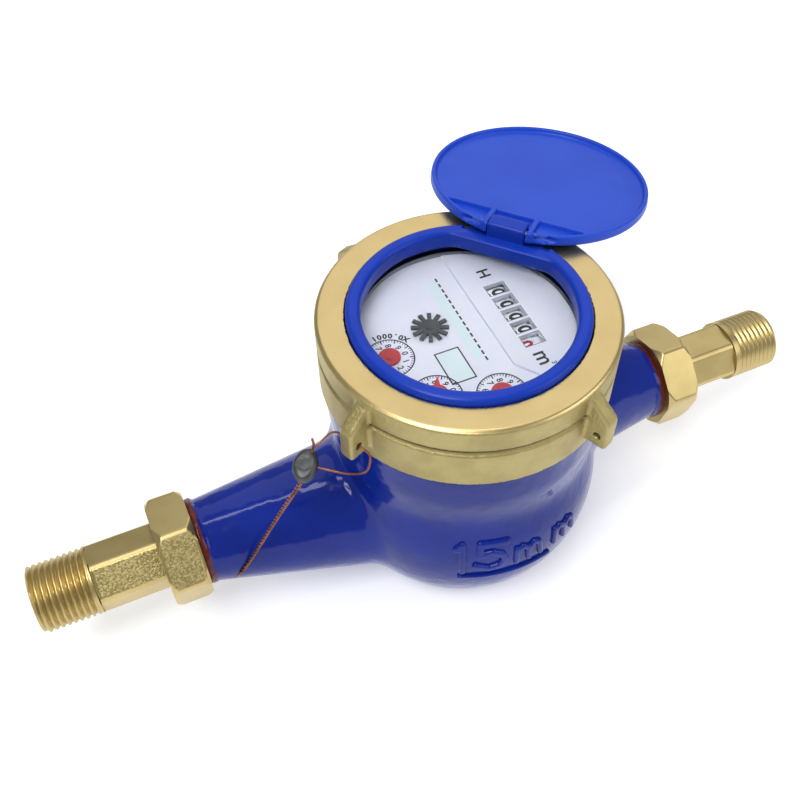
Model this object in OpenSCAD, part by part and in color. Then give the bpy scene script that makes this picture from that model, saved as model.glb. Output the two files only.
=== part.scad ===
// Multi-jet water meter, nominal bore 15 mm, with union couplings and a hinged dial lid.
// Millimetres. X runs along the pipe towards the outlet, Z is up, and the base stands on Z = 0.

/* [Pipe line] */
// Height of the pipe axis above the base
axis_h = 34; // [33:0.5:37]
// From the centre of the meter to the casting's inlet face
inlet_len = 92; // [88:1:110]
// From the centre of the meter to the casting's outlet face
outlet_len = 73; // [70:1:95]
// Radius of the G 3/4 B thread on the casting's spigots
spigot_r = 13.2; // [12.8:0.1:13.6]
// Radius of the waterway in the couplings
bore_r = 7.5; // [6:0.25:8]

/* [Couplings] */
// Nut width across flats
nut_af = 30.4; // [29.4:0.2:34]
// Nut length
nut_len = 11.5; // [10.5:0.5:16]
// Thickness of the nut's inner lip
nut_lip = 3; // [2:0.5:3.5]
// Thickness of the sealing washer
washer_t = 2.5; // [1.5:0.5:3]
// Thickness of the tailpiece's collar
collar_t = 3.5; // [2.5:0.5:4]
// Radius of the R 1/2 thread at the tailpiece's end
tail_thread_r = 10.45; // [10.2:0.05:10.6]
// Length of that thread
tail_thread_len = 16; // [12:0.5:20]
// Length of the tailpiece beyond the casting's end face
tail_len = 46.8; // [42:0.2:60]
// Tailpiece hexagon, across flats
tail_af = 18.6; // [18:0.1:19]

/* [Casting] */
// Largest radius of the bowl
bowl_r = 44; // [43:0.5:47]
// Radius of the bowl's profile arc
bowl_arc = 48; // [46:1:54]
// Radius of the plain band under the ring
band_r = 42; // [41.5:0.25:43]
// Wall of the bowl
wall = 4; // [3.5:0.25:4.5]
// Thickness of the floor
floor_t = 6; // [5:0.5:7]
// Radius of the thread that carries the ring
neck_r = 39.1; // [38.9:0.1:39.5]

/* [Ring] */
// Outer radius of the brass ring
ring_r = 43.4; // [43:0.1:45]
// Height of the ring
ring_h = 23; // [21:0.5:24]
// Height of the ring's top above the base
ring_top = 97.5; // [97:0.5:99]
// Angle of the first sealing lug
lug_angle = -156; // [-180:1:-120]
// Reach of a lug from the centre
lug_r = 50.5; // [49:0.5:54]
// Thickness of a lug
lug_t = 4.4; // [4:0.2:7]
// Radius of the wire hole in a lug
lug_hole_r = 1.1; // [0.8:0.1:1.5]

/* [Dial cover] */
// Outer radius of the bezel
bezel_r = 34.7; // [34.4:0.1:35]
// Inner radius of the bezel's rim
rim_r = 31.6; // [31:0.1:32]
// Thickness of the glass
glass_t = 4.5; // [3.5:0.25:4.75]
// Direction of the hinge from the centre
hinge_angle = 43; // [0:1:60]
// Distance of the hinge pin from the centre
hinge_d = 32; // [31.5:0.1:32.5]
// Width of the bezel's knuckle
knuckle_w = 11; // [8:0.5:14]
// Radius of the hinge pin
pin_r = 1; // [0.8:0.1:1.2]
// How far the lid stands open
lid_open = 189; // [90:1:189]
// Thickness of the lid's disc
lid_t = 1.6; // [1.2:0.1:1.8]

/* [Measuring insert] */
// Outer radius of the measuring chamber
chamber_r = 29; // [28:0.25:29.5]
// Number of jets in each row
jets = 10; // [6:1:14]
// Radius over the impeller's vanes
vane_r = 22.5; // [20:0.5:24]
// Number of vanes
vanes = 7; // [5:1:10]

/* [Register] */
// Distance between the drums
drum_pitch = 5.5; // [5.3:0.1:5.6]
// Radius of a drum
drum_r = 8; // [7.8:0.1:8.2]
// Distance of the drum axle from the centre
drum_x = 15; // [14.5:0.25:15.5]
// Tooth module of the pointer train
tooth_m = 0.5; // [0.48:0.01:0.5]

/* [Seal] */
// Radius of the seal wire
wire_r = 0.35; // [0.25:0.05:0.5]
// Radius of the lead pellet
pellet_r = 3.4; // [2.5:0.1:4]

/* [Hidden] */
$fn = 64;
// Running clearance of a turning pin, and of a seated piece
run = 0.06;
seat = 0.05;

// Heights of the stack under the ring, from the ring's top downwards
flange_top = ring_top - 6.5;
flange_bot = flange_top - 3;
gasket_t = 2;
neck_top = flange_bot - gasket_t;
ring_bot = ring_top - ring_h;
glass_top = ring_top - 3.6;
glass_bot = glass_top - glass_t;
dial_top = ring_top - 9.6;
dial_t = 1.2;
dial_bot = dial_top - dial_t;
blister = 0.9;
cup_floor = dial_bot - 24.7;
cup_floor_t = 2;
gear_floor = cup_floor + cup_floor_t;

// Radii of the stack
cavity_r = 36;
flange_r = neck_r - 0.5;
glass_r = bezel_r - 1.2;
cup_r = glass_r + 0.9;
cup_in_r = cup_r - 1.3;

// Measuring insert, from the casting's partition
part_bot = axis_h - 2;
part_top = axis_h + 2;
chamber_bot = floor_t + 8;
chamber_top = cup_floor - 4;
chamber_wall = 2.5;
chamber_floor = chamber_bot + chamber_wall;
shaft_r = 1.5;
// The strainer stands round the chamber, down to where the bowl is still wide enough for it
strainer_r = chamber_r + 3;
strainer_bot = max(floor_t, axis_h - 4
    - sqrt(pow(bowl_arc - wall, 2) - pow(strainer_r + 0.5 - bowl_r + bowl_arc, 2)));
strainer_h = part_bot - strainer_bot - 0.1;

// Hinge
hinge_z = ring_top + 3.9;
knuckle_r = 2.8;
lug_eye_r = 2.6;
lug_eye_w = 2.4;
lid_r = bezel_r - 0.3;
lid_top = hinge_z + 1.9;
chord_d = 24;

// Register arbors: star, three pointers, compound idlers between them, and the worm
arbor_r = 0.7;
gear_w = 1.6;
gear_pitch = 2.2;
function level(i) = gear_floor + 1 + i * gear_pitch;
star_at = [-9.5, 5.1];
hand_at = [[-24.5, -0.5], [-18, -18], [-1.5, -24.6]];
hand_turn = [235, 65, 250];
z_first = 12;
z_star = 24;
z_pin = 9;
z_mid = 30;
z_end = 27;
z_equal = 20;
near_d = tooth_m * (z_pin + z_mid) / 2;
far_d = tooth_m * (z_pin + z_end) / 2;
// Centre of an idler that meshes with two given arbors
function meet(p, q, rp, rq, side) =
    let (d = norm(q - p), a = (rp * rp - rq * rq + d * d) / (2 * d),
         h = sqrt(max(0, rp * rp - a * a)), u = (q - p) / d)
    p + a * u + side * h * [-u[1], u[0]];
idler_at = [meet(star_at, hand_at[0], near_d, far_d, -1),
            meet(hand_at[0], hand_at[1], near_d, far_d, 1),
            meet(hand_at[1], hand_at[2], near_d, far_d, 1)];
function bearing(p, q) = atan2(q[1] - p[1], q[0] - p[0]);
// Phase of a follower's tooth so that it falls in a gap of its driver
function mesh(p, q, z1, z2, phase1) =
    let (a = bearing(p, q)) a + 180 - z1 / z2 * (phase1 - a) + 180 / z2;

// Drums and carry pinions
drums = 5;
drum_z = dial_top + blister - dial_t - 0.3 - drum_r;
function window_y(i) = (i - (drums - 1) / 2) * drum_pitch;
function drum_y(i) = window_y(i) - 0.5;
rim_lo = -1.3;
rim_hi = drum_pitch - 3.2;
ring_lo = -2.8;
axle_r = 1.2;
carry_r = 0.9;
z_drum = 20;
z_carry = 8;
carry_m = (drum_r - 0.2) / (z_drum / 2 + 0.85);
carry_d = carry_m * (z_drum + z_carry) / 2;
carry_off = round(1000 * carry_d * cos(45)) / 1000;
carry_x = drum_x + carry_off;
carry_z = drum_z - carry_off;
cheek_y = 17.3;
cheek_t = 1.4;

// Worm that turns the first drum
wheel_y = drum_y(0) - 4.3;
wheel_r = 5;
z_wheel = 10;
worm_lead = 2 * PI * wheel_r / z_wheel;
worm_core = 1.6;
worm_off = 0.9;
worm_len = 8.6;
worm_at = [drum_x - wheel_r - 2, wheel_y];
equal_m = norm(worm_at - hand_at[2]) / z_equal;

// Sealing lug and wire
lug_hole_d = ring_r + (lug_r - ring_r) * 0.56;
lug_hole_z = ring_top - 14.4;
pellet_at = [-57, -18, 78.2];
pellet_top = [-54.6, -14.8, 79.2];
pellet_len = 9.6;

// Frames: the two pipe ends point outwards from the casting's end faces,
// and the hinge frame has X from the centre to the hinge and Y along the pin.
module inlet_side() translate([-inlet_len, 0, axis_h]) rotate([0, -90, 0]) children();
module outlet_side() translate([outlet_len, 0, axis_h]) rotate([0, 90, 0]) children();
module hinge_frame() rotate([0, 0, hinge_angle]) children();
module across(x, y, z) translate([x, y, z]) rotate([-90, 0, 0]) children();
module annulus(r_out, r_in, z, h) translate([0, 0, z]) difference() {
    cylinder(h = h, r = r_out);
    translate([0, 0, -1]) cylinder(h = h + 2, r = r_in);
}
// Round bar between two points of the X-Z plane, tapered from the first to the second
module taper(x1, z1, r1, x2, z2, r2)
    translate([x1, 0, z1]) rotate([0, atan2(x2 - x1, z2 - z1), 0])
        cylinder(h = norm([x2 - x1, z2 - z1]), r1 = r1, r2 = r2);

// Casting
module bowl_outline() {
    difference() {
        union() {
            intersection() {
                translate([bowl_r - bowl_arc, axis_h - 4]) circle(bowl_arc, $fn = 128);
                translate([0, 2]) square([bowl_r + 5, axis_h + 16]);
            }
            square([bowl_r - bowl_arc + sqrt(pow(bowl_arc, 2) - pow(axis_h - 6, 2)) - 2, 3]);
            translate([0, axis_h + 12]) square([band_r, ring_bot - axis_h - 12.5]);
            translate([0, axis_h + 12]) square([neck_r, neck_top - axis_h - 12]);
        }
        translate([band_r + 10.5, axis_h + 17.5]) circle(12.5);
    }
}
module cavity_outline() {
    intersection() {
        translate([bowl_r - bowl_arc, axis_h - 4]) circle(bowl_arc - wall, $fn = 128);
        translate([0, floor_t]) square([bowl_r, part_bot - floor_t]);
    }
    translate([0, part_bot - 1]) square([chamber_r + 0.25, part_top - part_bot + 2]);
    intersection() {
        translate([bowl_r - bowl_arc, axis_h - 4]) circle(bowl_arc - wall, $fn = 128);
        translate([0, part_top]) square([band_r - wall - 2, 12]);
    }
    translate([0, part_top]) square([cavity_r, ring_top - part_top]);
}
// Spigot, sealing collar and the flare behind it, from the end face inwards
module spigot() {
    translate([0, 0, -4]) cylinder(h = 4, r = spigot_r);
    translate([0, 0, -nut_len + collar_t + washer_t + nut_lip - 2.9])
        cylinder(h = 2.6, r = spigot_r + 1.7);
    translate([0, 0, -nut_len + collar_t + washer_t + nut_lip - 5.4])
        cylinder(h = 2.5, r1 = spigot_r - 0.9, r2 = spigot_r + 1.7);
}
module body_casting() {
    arm_end = 7;
    color("mediumblue") difference() {
        union() {
            rotate_extrude($fn = 128) bowl_outline();
            taper(-30, axis_h - 9, 23.4, -inlet_len + arm_end, axis_h - 0.5, spigot_r - 0.7);
            taper(30, axis_h + 6, 21.5, outlet_len - arm_end, axis_h + 0.3, spigot_r - 0.5);
            inlet_side() spigot();
            outlet_side() spigot();
        }
        rotate_extrude($fn = 128) cavity_outline();
        // Inlet duct falls to the space below the partition, outlet duct climbs to the one above
        inlet_side() translate([0, 0, -22]) cylinder(h = 23, r = bore_r + 0.5);
        taper(-inlet_len + 18, axis_h, bore_r, -33, axis_h - 12, bore_r + 2);
        outlet_side() translate([0, 0, -16]) cylinder(h = 17, r = bore_r + 0.5);
        taper(outlet_len - 12, axis_h, bore_r, 33, axis_h + 12, bore_r + 2);
    }
}

// Couplings: everything is placed from the casting's end face outwards
module washer() color("black") annulus(spigot_r - 0.5, bore_r + 0.5, 0, washer_t);
module union_nut(turn) {
    top = washer_t + collar_t + nut_lip;
    bot = top - nut_len;
    corner = nut_af / 2 / cos(30);
    ease = corner - 1.6;
    color("goldenrod") difference() {
        intersection() {
            translate([0, 0, bot]) rotate([0, 0, turn]) cylinder(h = nut_len, r = corner, $fn = 6);
            translate([0, 0, bot]) cylinder(h = nut_len, r1 = ease + 1.9 * nut_len, r2 = ease);
            translate([0, 0, bot]) cylinder(h = nut_len, r1 = ease, r2 = ease + 1.9 * nut_len);
        }
        translate([0, 0, bot - 1]) cylinder(h = nut_len - nut_lip + 1, r = spigot_r + seat);
        translate([0, 0, bot]) cylinder(h = nut_len + 1, r = tail_thread_r + 0.5);
    }
}
module tailpiece(turn) {
    hex_lo = washer_t + collar_t + 1;
    hex_hi = tail_len - tail_thread_len - 1.6;
    color("darkgoldenrod") difference() {
        union() {
            translate([0, 0, washer_t]) cylinder(h = collar_t, r = spigot_r - 0.6);
            translate([0, 0, washer_t]) cylinder(h = collar_t + 2, r = tail_af / 2 - 0.4);
            intersection() {
                translate([0, 0, hex_lo]) rotate([0, 0, turn])
                    cylinder(h = hex_hi - hex_lo + 0.5, r = tail_af / 2 / cos(30), $fn = 6);
                translate([0, 0, hex_lo])
                    cylinder(h = hex_hi - hex_lo + 0.5, r1 = tail_af / 2, r2 = 3 * tail_af);
                translate([0, 0, hex_lo])
                    cylinder(h = hex_hi - hex_lo + 0.5, r1 = 3 * tail_af, r2 = tail_af / 2 - 0.7);
            }
            translate([0, 0, hex_hi]) cylinder(h = tail_len - hex_hi - 1, r = tail_thread_r);
            translate([0, 0, tail_len - 1]) cylinder(h = 1, r1 = tail_thread_r, r2 = tail_thread_r - 0.9);
        }
        translate([0, 0, -1]) cylinder(h = tail_len + 2, r = bore_r);
    }
}
module inlet_nut() inlet_side() union_nut(42);
module outlet_nut() outlet_side() union_nut(14.5);
module inlet_tailpiece() inlet_side() tailpiece(45.5);
module outlet_tailpiece() outlet_side() tailpiece(32.4);
module inlet_washer() inlet_side() washer();
module outlet_washer() outlet_side() washer();

// Brass ring with four sealing lugs, and the gasket that it clamps
module lug() {
    difference() {
        translate([0, lug_t / 2, 0]) rotate([90, 0, 0]) linear_extrude(lug_t)
            polygon([[ring_r - 2, ring_top - 2], [ring_r + 1, ring_top - 2.6], [lug_r - 0.6, ring_top - 7.2],
                [lug_r, ring_top - 8.6], [lug_r, ring_top - 17.4], [lug_r - 1.4, ring_top - 18.8],
                [ring_r - 2, ring_top - 17]]);
        translate([lug_hole_d, -lug_t, lug_hole_z]) rotate([-90, 0, 0])
            cylinder(h = 2 * lug_t, r = lug_hole_r);
    }
}
module cover_ring() {
    groove = ring_top - 9.2;
    color("gold") difference() {
        union() {
            rotate_extrude($fn = 128) difference() {
                translate([neck_r + seat - 5, ring_bot]) square([ring_r - neck_r + 5 - seat, ring_h]);
                translate([ring_r + 0.3, groove]) circle(1.3);
                translate([ring_r - 0.5, ring_top + 0.3]) rotate(-45) square([2, 2]);
            }
            for (i = [0:3]) rotate([0, 0, lug_angle + 90 * i]) lug();
        }
        translate([0, 0, ring_bot - 1]) cylinder(h = flange_top + seat - ring_bot + 1, r = neck_r + seat);
        translate([0, 0, ring_bot]) cylinder(h = ring_h + 1, r = bezel_r + 0.35);
    }
}
module body_gasket() color("dimgray") annulus(flange_r, cavity_r + 0.3, neck_top, gasket_t);

// Bezel with its flat hinge deck, the pin, and the lid
module bezel_outline() {
    mid = (rim_r + bezel_r) / 2;
    bead = (bezel_r - rim_r) / 2;
    polygon(concat([[glass_r + 0.1, flange_bot], [flange_r, flange_bot], [flange_r, flange_top],
            [bezel_r, flange_top]],
        [for (a = [0:15:180]) [mid + bead * cos(a), ring_top + 0.5 + bead * sin(a)]],
        [[rim_r, glass_top], [glass_r + 0.1, glass_top]]));
}
module dial_bezel() {
    root = hinge_d - 2.4;
    color("royalblue") difference() {
        union() {
            rotate_extrude($fn = 128) bezel_outline();
            hinge_frame() {
                translate([0, 0, glass_top + 0.3]) linear_extrude(ring_top + 1.3 - glass_top) intersection() {
                    circle((rim_r + bezel_r) / 2 - 0.1, $fn = 128);
                    translate([chord_d, -bezel_r]) square([bezel_r, 2 * bezel_r]);
                }
                translate([root, -knuckle_w / 2, ring_top + 0.4])
                    cube([hinge_d + 2 - root, knuckle_w, hinge_z - ring_top - 0.4]);
                across(hinge_d, -knuckle_w / 2, hinge_z) cylinder(h = knuckle_w, r = knuckle_r);
            }
        }
        hinge_frame() {
            for (s = [-1, 1]) translate([root, s * (knuckle_w / 2 + 4) - 4, ring_top + 0.3])
                cube([bezel_r, 8, 8]);
            across(hinge_d, -knuckle_w, hinge_z) cylinder(h = 2 * knuckle_w, r = pin_r);
        }
    }
}
module hinge_pin() {
    w = knuckle_w / 2 + 0.5 + lug_eye_w;
    color("silver") hinge_frame() across(hinge_d, -w, hinge_z) cylinder(h = 2 * w, r = pin_r);
}
module lid_closed() {
    under = lid_top - lid_t;
    lip = ring_top + 2.7;
    inner = knuckle_w / 2 + 0.5;
    difference() {
        union() {
            rotate_extrude($fn = 128) {
                translate([0, under]) square([lid_r - 1, lid_t]);
                translate([lid_r - 2, lip]) square([2, lid_top - 1 - lip]);
                translate([lid_r - 1, lid_top - 1]) circle(1);
            }
            intersection() {
                translate([0, 0, lip]) cylinder(h = under - lip + 0.2, r = lid_r - 1);
                union() {
                    translate([chord_d - 0.2, -lid_r, lip]) cube([1.2, 2 * lid_r, 5]);
                    for (s = [-1, 1]) translate([chord_d, s * (inner + 0.6) - 0.6, lip])
                        cube([lid_r, 1.2, 5]);
                }
            }
            for (s = [-1, 1]) translate([0, s * (inner + lug_eye_w / 2) - lug_eye_w / 2, 0]) {
                across(hinge_d, 0, hinge_z) cylinder(h = lug_eye_w, r = lug_eye_r);
                translate([hinge_d - 3, 0, lip]) cube([3, lug_eye_w, lid_top - lip]);
            }
        }
        translate([hinge_d - knuckle_r - 0.6, -inner, lip - 3]) cube([lid_r, 2 * inner, 12]);
        across(hinge_d, -lid_r, hinge_z) cylinder(h = 2 * lid_r, r = pin_r + run);
    }
}
module lid() color("dodgerblue") hinge_frame()
    translate([hinge_d, 0, hinge_z]) rotate([0, lid_open, 0]) translate([-hinge_d, 0, -hinge_z]) lid_closed();

// Glass, its gasket, the dial and the register's cup
module dial_glass() color([0.8, 0.9, 1, 0.4])
    translate([0, 0, glass_bot]) cylinder(h = glass_t, r = glass_r);
module glass_gasket() color("black") annulus(glass_r, rim_r + 0.2, dial_top, glass_bot - dial_top);
module drum_zone(inset) intersection() {
    circle(rim_r - 0.3 - inset);
    translate([inset, 0]) polygon([[6, 40], [6, -17], [10.5, -23], [10.5, -40], [40, -40], [40, 40]]);
}
module dial_plate() {
    high = dial_top + blister;
    color("white") difference() {
        union() {
            translate([0, 0, dial_bot]) cylinder(h = dial_t, r = cup_r - 0.2);
            translate([0, 0, dial_bot]) linear_extrude(high - dial_bot) drum_zone(0);
            for (s = [-1, 1]) across(0, s * (cheek_y + cheek_t / 2) - cheek_t / 2, 0) linear_extrude(cheek_t)
                polygon([[drum_x - 3, -dial_bot - 0.5], [carry_x + 2.2, -dial_bot - 0.5],
                    [carry_x + 2.2, 2.4 - carry_z], [carry_x - 2.2, 2.4 - carry_z],
                    [drum_x - 3, 3 - drum_z]]);
        }
        difference() {
            translate([0, 0, dial_bot - 1]) linear_extrude(high - dial_t - dial_bot + 1) drum_zone(1.2);
            for (s = [-1, 1]) translate([0, s * (cheek_y + cheek_t / 2) - cheek_t / 2, 0])
                cube([40, cheek_t, 200]);
        }
        for (i = [0:drums - 1]) translate([drum_x - 3.1, window_y(i) - 2.1, dial_bot - 1])
            cube([6.2, 4.2, 10]);
        for (p = concat([star_at], hand_at)) translate([p[0], p[1], dial_bot - 1])
            cylinder(h = 10, r = arbor_r + run);
        for (p = idler_at) translate([p[0], p[1], dial_bot - 1]) cylinder(h = 1.7, r = arbor_r + run);
        translate([worm_at[0], worm_at[1], dial_bot - 1])
            cylinder(h = high - dial_bot + 0.4, r = arbor_r + run);
        across(drum_x, -30, drum_z) cylinder(h = 60, r = axle_r);
        across(carry_x, -30, carry_z) cylinder(h = 60, r = carry_r);
    }
}
module register_cup() {
    color("gainsboro") difference() {
        translate([0, 0, cup_floor]) cylinder(h = dial_bot - cup_floor, r = cup_r);
        translate([0, 0, gear_floor]) cylinder(h = 60, r = cup_in_r);
        translate([0, 0, cup_floor - 1]) cylinder(h = 5, r = shaft_r + run);
        for (p = concat([star_at, worm_at], hand_at, idler_at)) translate([p[0], p[1], gear_floor - 1.1])
            cylinder(h = 2, r = arbor_r + run);
        for (i = [0:3]) rotate([0, 0, 45 + 90 * i]) translate([14, 0, cup_floor - 1])
            cylinder(h = 5, r = 1);
    }
}

// Measuring insert
module chamber_cover() {
    color("whitesmoke") difference() {
        translate([0, 0, chamber_top]) cylinder(h = cup_floor - chamber_top, r = chamber_r + 2);
        translate([0, 0, chamber_top - 1]) cylinder(h = 10, r = shaft_r + run);
        for (i = [0:3]) rotate([0, 0, 45 + 90 * i]) translate([14, 0, chamber_top - 1])
            cylinder(h = 10, r = 1);
    }
}
module jet_row(z, lean) for (i = [0:jets - 1]) rotate([0, 0, 360 / jets * i])
    translate([chamber_r - chamber_wall / 2, 0, z]) rotate([0, 0, lean]) cube([14, 3, 5], center = true);
module measuring_chamber() {
    color("ivory") difference() {
        union() {
            translate([0, 0, chamber_bot]) cylinder(h = chamber_top - chamber_bot, r = chamber_r);
            translate([0, 0, part_top]) cylinder(h = 2.5, r = chamber_r + 3);
        }
        translate([0, 0, chamber_floor]) cylinder(h = 100, r = chamber_r - chamber_wall);
        translate([0, 0, chamber_bot - 1]) cylinder(h = 10, r = 0.8);
        jet_row(axis_h - 9, 58);
        jet_row(axis_h + 12, -58);
    }
}
module strainer_basket() {
    row = (strainer_h - 9.1) / 3;
    color("lightgray") difference() {
        annulus(strainer_r, strainer_r - 0.8, strainer_bot, strainer_h);
        for (k = [0:3], i = [0:17]) rotate([0, 0, 20 * i + 10 * (k % 2)])
            translate([strainer_r - 3, 0, strainer_bot + 4.5 + row * k]) rotate([0, 90, 0])
                cylinder(h = 6, r = 1.6);
    }
}
module impeller_pivot() color("silver") translate([0, 0, chamber_bot]) {
    cylinder(h = 9, r = 0.8);
    translate([0, 0, 9]) sphere(0.8);
}
module impeller() {
    hub_lo = chamber_floor + 2.5;
    hub_hi = axis_h + 8;
    color("mistyrose") {
        difference() {
            union() {
                translate([0, 0, hub_lo]) cylinder(h = hub_hi - hub_lo, r = 4);
                for (i = [0:vanes - 1]) rotate([0, 0, 360 / vanes * i])
                    translate([0, -0.6, axis_h - 13]) cube([vane_r, 1.2, 18]);
            }
            translate([0, 0, chamber_bot]) cylinder(h = 9, r = 0.8 + run);
            translate([0, 0, chamber_bot + 9]) sphere(0.8 + run);
        }
        translate([0, 0, hub_hi - 0.5]) cylinder(h = level(0) + gear_w + 0.4 - hub_hi + 0.5, r = shaft_r);
        toothed([0, 0], 0, z_first, first_m(), 0);
    }
}

// Gears: straight flanks with a wide gap, so that a pair runs free
function first_m() = 2 * norm(star_at) / (z_first + z_star);
module gear_outline(z, m, phase) {
    tip = m * (z / 2 + 0.85);
    root = m * (z / 2 - 1.15);
    polygon([for (i = [0:z - 1], k = [[-0.29, root], [-0.12, tip], [0.12, tip], [0.29, root]])
        let (a = phase + 360 / z * (i + k[0])) k[1] * [cos(a), sin(a)]]);
}
module toothed(p, lev, z, m, phase) translate([p[0], p[1], level(lev)])
    linear_extrude(gear_w) gear_outline(z, m, phase);
module spindle(p, top) translate([p[0], p[1], gear_floor - 1])
    cylinder(h = top - gear_floor + 1, r = arbor_r);
module star_arbor() color("linen") {
    spindle(star_at, dial_top + 0.95);
    toothed(star_at, 0, z_star, first_m(), mesh([0, 0], star_at, z_first, z_star, 0));
    toothed(star_at, 1, z_pin, tooth_m, 0);
}
// Idler i takes the turn of one arbor and passes it to the next pointer
module idler(i, driver) color("linen") {
    p = idler_at[i];
    spindle(p, dial_bot + 0.6);
    toothed(p, 1 + 2 * i, z_mid, tooth_m, mesh(driver, p, z_pin, z_mid, 0));
    toothed(p, 2 + 2 * i, z_pin, tooth_m, 0);
}
module idler_1() idler(0, star_at);
module idler_2() idler(1, hand_at[0]);
module idler_3() idler(2, hand_at[1]);
module hand_arbor(i) {
    p = hand_at[i];
    spindle(p, dial_top + 0.95);
    toothed(p, 2 + 2 * i, z_end, tooth_m, mesh(idler_at[i], p, z_pin, z_end, 0));
    if (i < 2) toothed(p, 3 + 2 * i, z_pin, tooth_m, 0);
    else toothed(p, 0, z_equal, equal_m, 0);
}
module hand_arbor_1() color("linen") hand_arbor(0);
module hand_arbor_2() color("linen") hand_arbor(1);
module hand_arbor_3() color("linen") hand_arbor(2);

// Leak star and pointers, pressed on their arbors just above the dial
module on_dial(p, turn) translate([p[0], p[1], dial_top + 0.35]) rotate([0, 0, turn]) linear_extrude(0.6)
    difference() {
        children();
        circle(arbor_r);
    }
module leak_star() color("dimgray") on_dial(star_at, 8) union() {
    circle(3.9);
    for (i = [0:11]) rotate(30 * i) polygon([[3, -0.6], [6.4, -0.95], [6.4, 0.95], [3, 0.6]]);
}
module hand(i) on_dial(hand_at[i], hand_turn[i]) union() {
    circle(3.1);
    polygon([[0, -1.5], [6.2, 0], [0, 1.5]]);
}
module hand_1() color("crimson") hand(0);
module hand_2() color("crimson") hand(1);
module hand_3() color("crimson") hand(2);
module worm_arbor() {
    z0 = drum_z - worm_len / 2;
    color("linen") {
        spindle(worm_at, dial_top + blister - 0.75);
        toothed(worm_at, 0, z_equal, equal_m, mesh(hand_at[2], worm_at, z_equal, z_equal, 0));
        translate([worm_at[0], worm_at[1], z0])
            linear_extrude(worm_len, twist = -360 * worm_len / worm_lead, slices = 28)
                rotate(180 - 180 * worm_len / worm_lead) translate([worm_off, 0]) circle(worm_core, $fn = 14);
    }
}

// Figure drums, their axle, and the carry pinions between them
module drum(i) translate([drum_x, drum_y(i), drum_z]) rotate([-90, 0, 0]) difference() {
    union() {
        translate([0, 0, rim_lo]) cylinder(h = rim_hi - rim_lo, r = drum_r);
        if (i > 0) translate([0, 0, ring_lo]) linear_extrude(rim_lo - ring_lo)
            gear_outline(z_drum, carry_m, carry_phase());
        else {
            translate([0, 0, -4]) cylinder(h = 3.5, r = 2.6);
            translate([0, 0, -5.3]) linear_extrude(2) wheel_outline();
        }
    }
    translate([0, 0, -8]) cylinder(h = 16, r = axle_r + run);
}
module wheel_outline() polygon([for (i = [0:z_wheel - 1],
    k = [[-0.2, -0.8], [-0.07, 0.85], [0.07, 0.85], [0.2, -0.8]])
    let (a = 180 + 360 / z_wheel * (i + k[0])) (wheel_r + k[1]) * [cos(a), sin(a)]]);
// Drawn along the axle: X stays X and Y points down, so the pinion lies at 45 degrees
function carry_phase() = 45 + 180 / z_drum;
module carry_pinion(i) translate([carry_x, drum_y(i), carry_z]) rotate([-90, 0, 0])
    translate([0, 0, ring_lo + 0.2]) linear_extrude(rim_lo - ring_lo - 0.5) difference() {
        gear_outline(z_carry, carry_m, 225);
        circle(carry_r + run);
    }
module drum_1() color("tomato") drum(0);
module drum_2() color("black") drum(1);
module drum_3() color("black") drum(2);
module drum_4() color("black") drum(3);
module drum_5() color("black") drum(4);
module carry_pinion_1() color("wheat") carry_pinion(1);
module carry_pinion_2() color("wheat") carry_pinion(2);
module carry_pinion_3() color("wheat") carry_pinion(3);
module carry_pinion_4() color("wheat") carry_pinion(4);
module drum_axle() {
    end = cheek_y + cheek_t;
    from = drum_y(drums - 1) + rim_hi + 0.3;
    color("silver") {
        across(drum_x, -end, drum_z) cylinder(h = 2 * end, r = axle_r);
        across(drum_x, from, drum_z) cylinder(h = cheek_y - from, r = 2.2);
    }
}
module carry_axle() {
    end = cheek_y + cheek_t;
    color("silver") {
        across(carry_x, -end, carry_z) cylinder(h = 2 * end, r = carry_r);
        for (i = [0:drums - 1]) {
            lo = i == 0 ? -cheek_y : drum_y(i) + rim_lo;
            hi = i == drums - 1 ? cheek_y : drum_y(i + 1) + ring_lo - 0.1;
            across(carry_x, lo, carry_z) cylinder(h = hi - lo, r = 1.6);
        }
    }
}

// Lead seal: a pellet closed on a copper wire that is threaded through the front lug
function lug_point(t) = let (a = lug_angle)
    [lug_hole_d * cos(a) - t * sin(a), lug_hole_d * sin(a) + t * cos(a), lug_hole_z];
WIRE = [[-83.5, -4.5, 20.4], [-83.2, -9, 22.8], [-82.4, -12.8, 27.6], [-80, -14.6, 32.6], [-76.7, -15, 38],
    [-70.3, -16.6, 51.4], [-64.6, -19, 64.8], [-59.8, -21.2, 76.2], pellet_at, pellet_top,
    [-51, -13.6, 80.2], [-47.2, -13.4, 82.4], lug_point(-3.4), lug_point(0), lug_point(3.4),
    [-40.6, -24.2, 81.2], [-42.4, -25.6, 77.2], [-46.8, -24.6, 77.2], [-51, -22, 77.8], [-55, -19.2, 78.4]];
WIRE_STEPS = 4;
function unit(v) = v / norm(v);
function between(a, b, c, d, t) = 0.5 * (2 * b + (c - a) * t + (2 * a - 5 * b + 4 * c - d) * t * t
    + (3 * b - a - 3 * c + d) * t * t * t);
function curve(p) = let (n = len(p)) concat([for (i = [0:n - 2], k = [0:WIRE_STEPS - 1])
    between(p[max(i - 1, 0)], p[i], p[i + 1], p[min(i + 2, n - 1)], k / WIRE_STEPS)], [p[n - 1]]);
function heading(c, i) = unit(c[min(i + 1, len(c) - 1)] - c[max(i - 1, 0)]);
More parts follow.
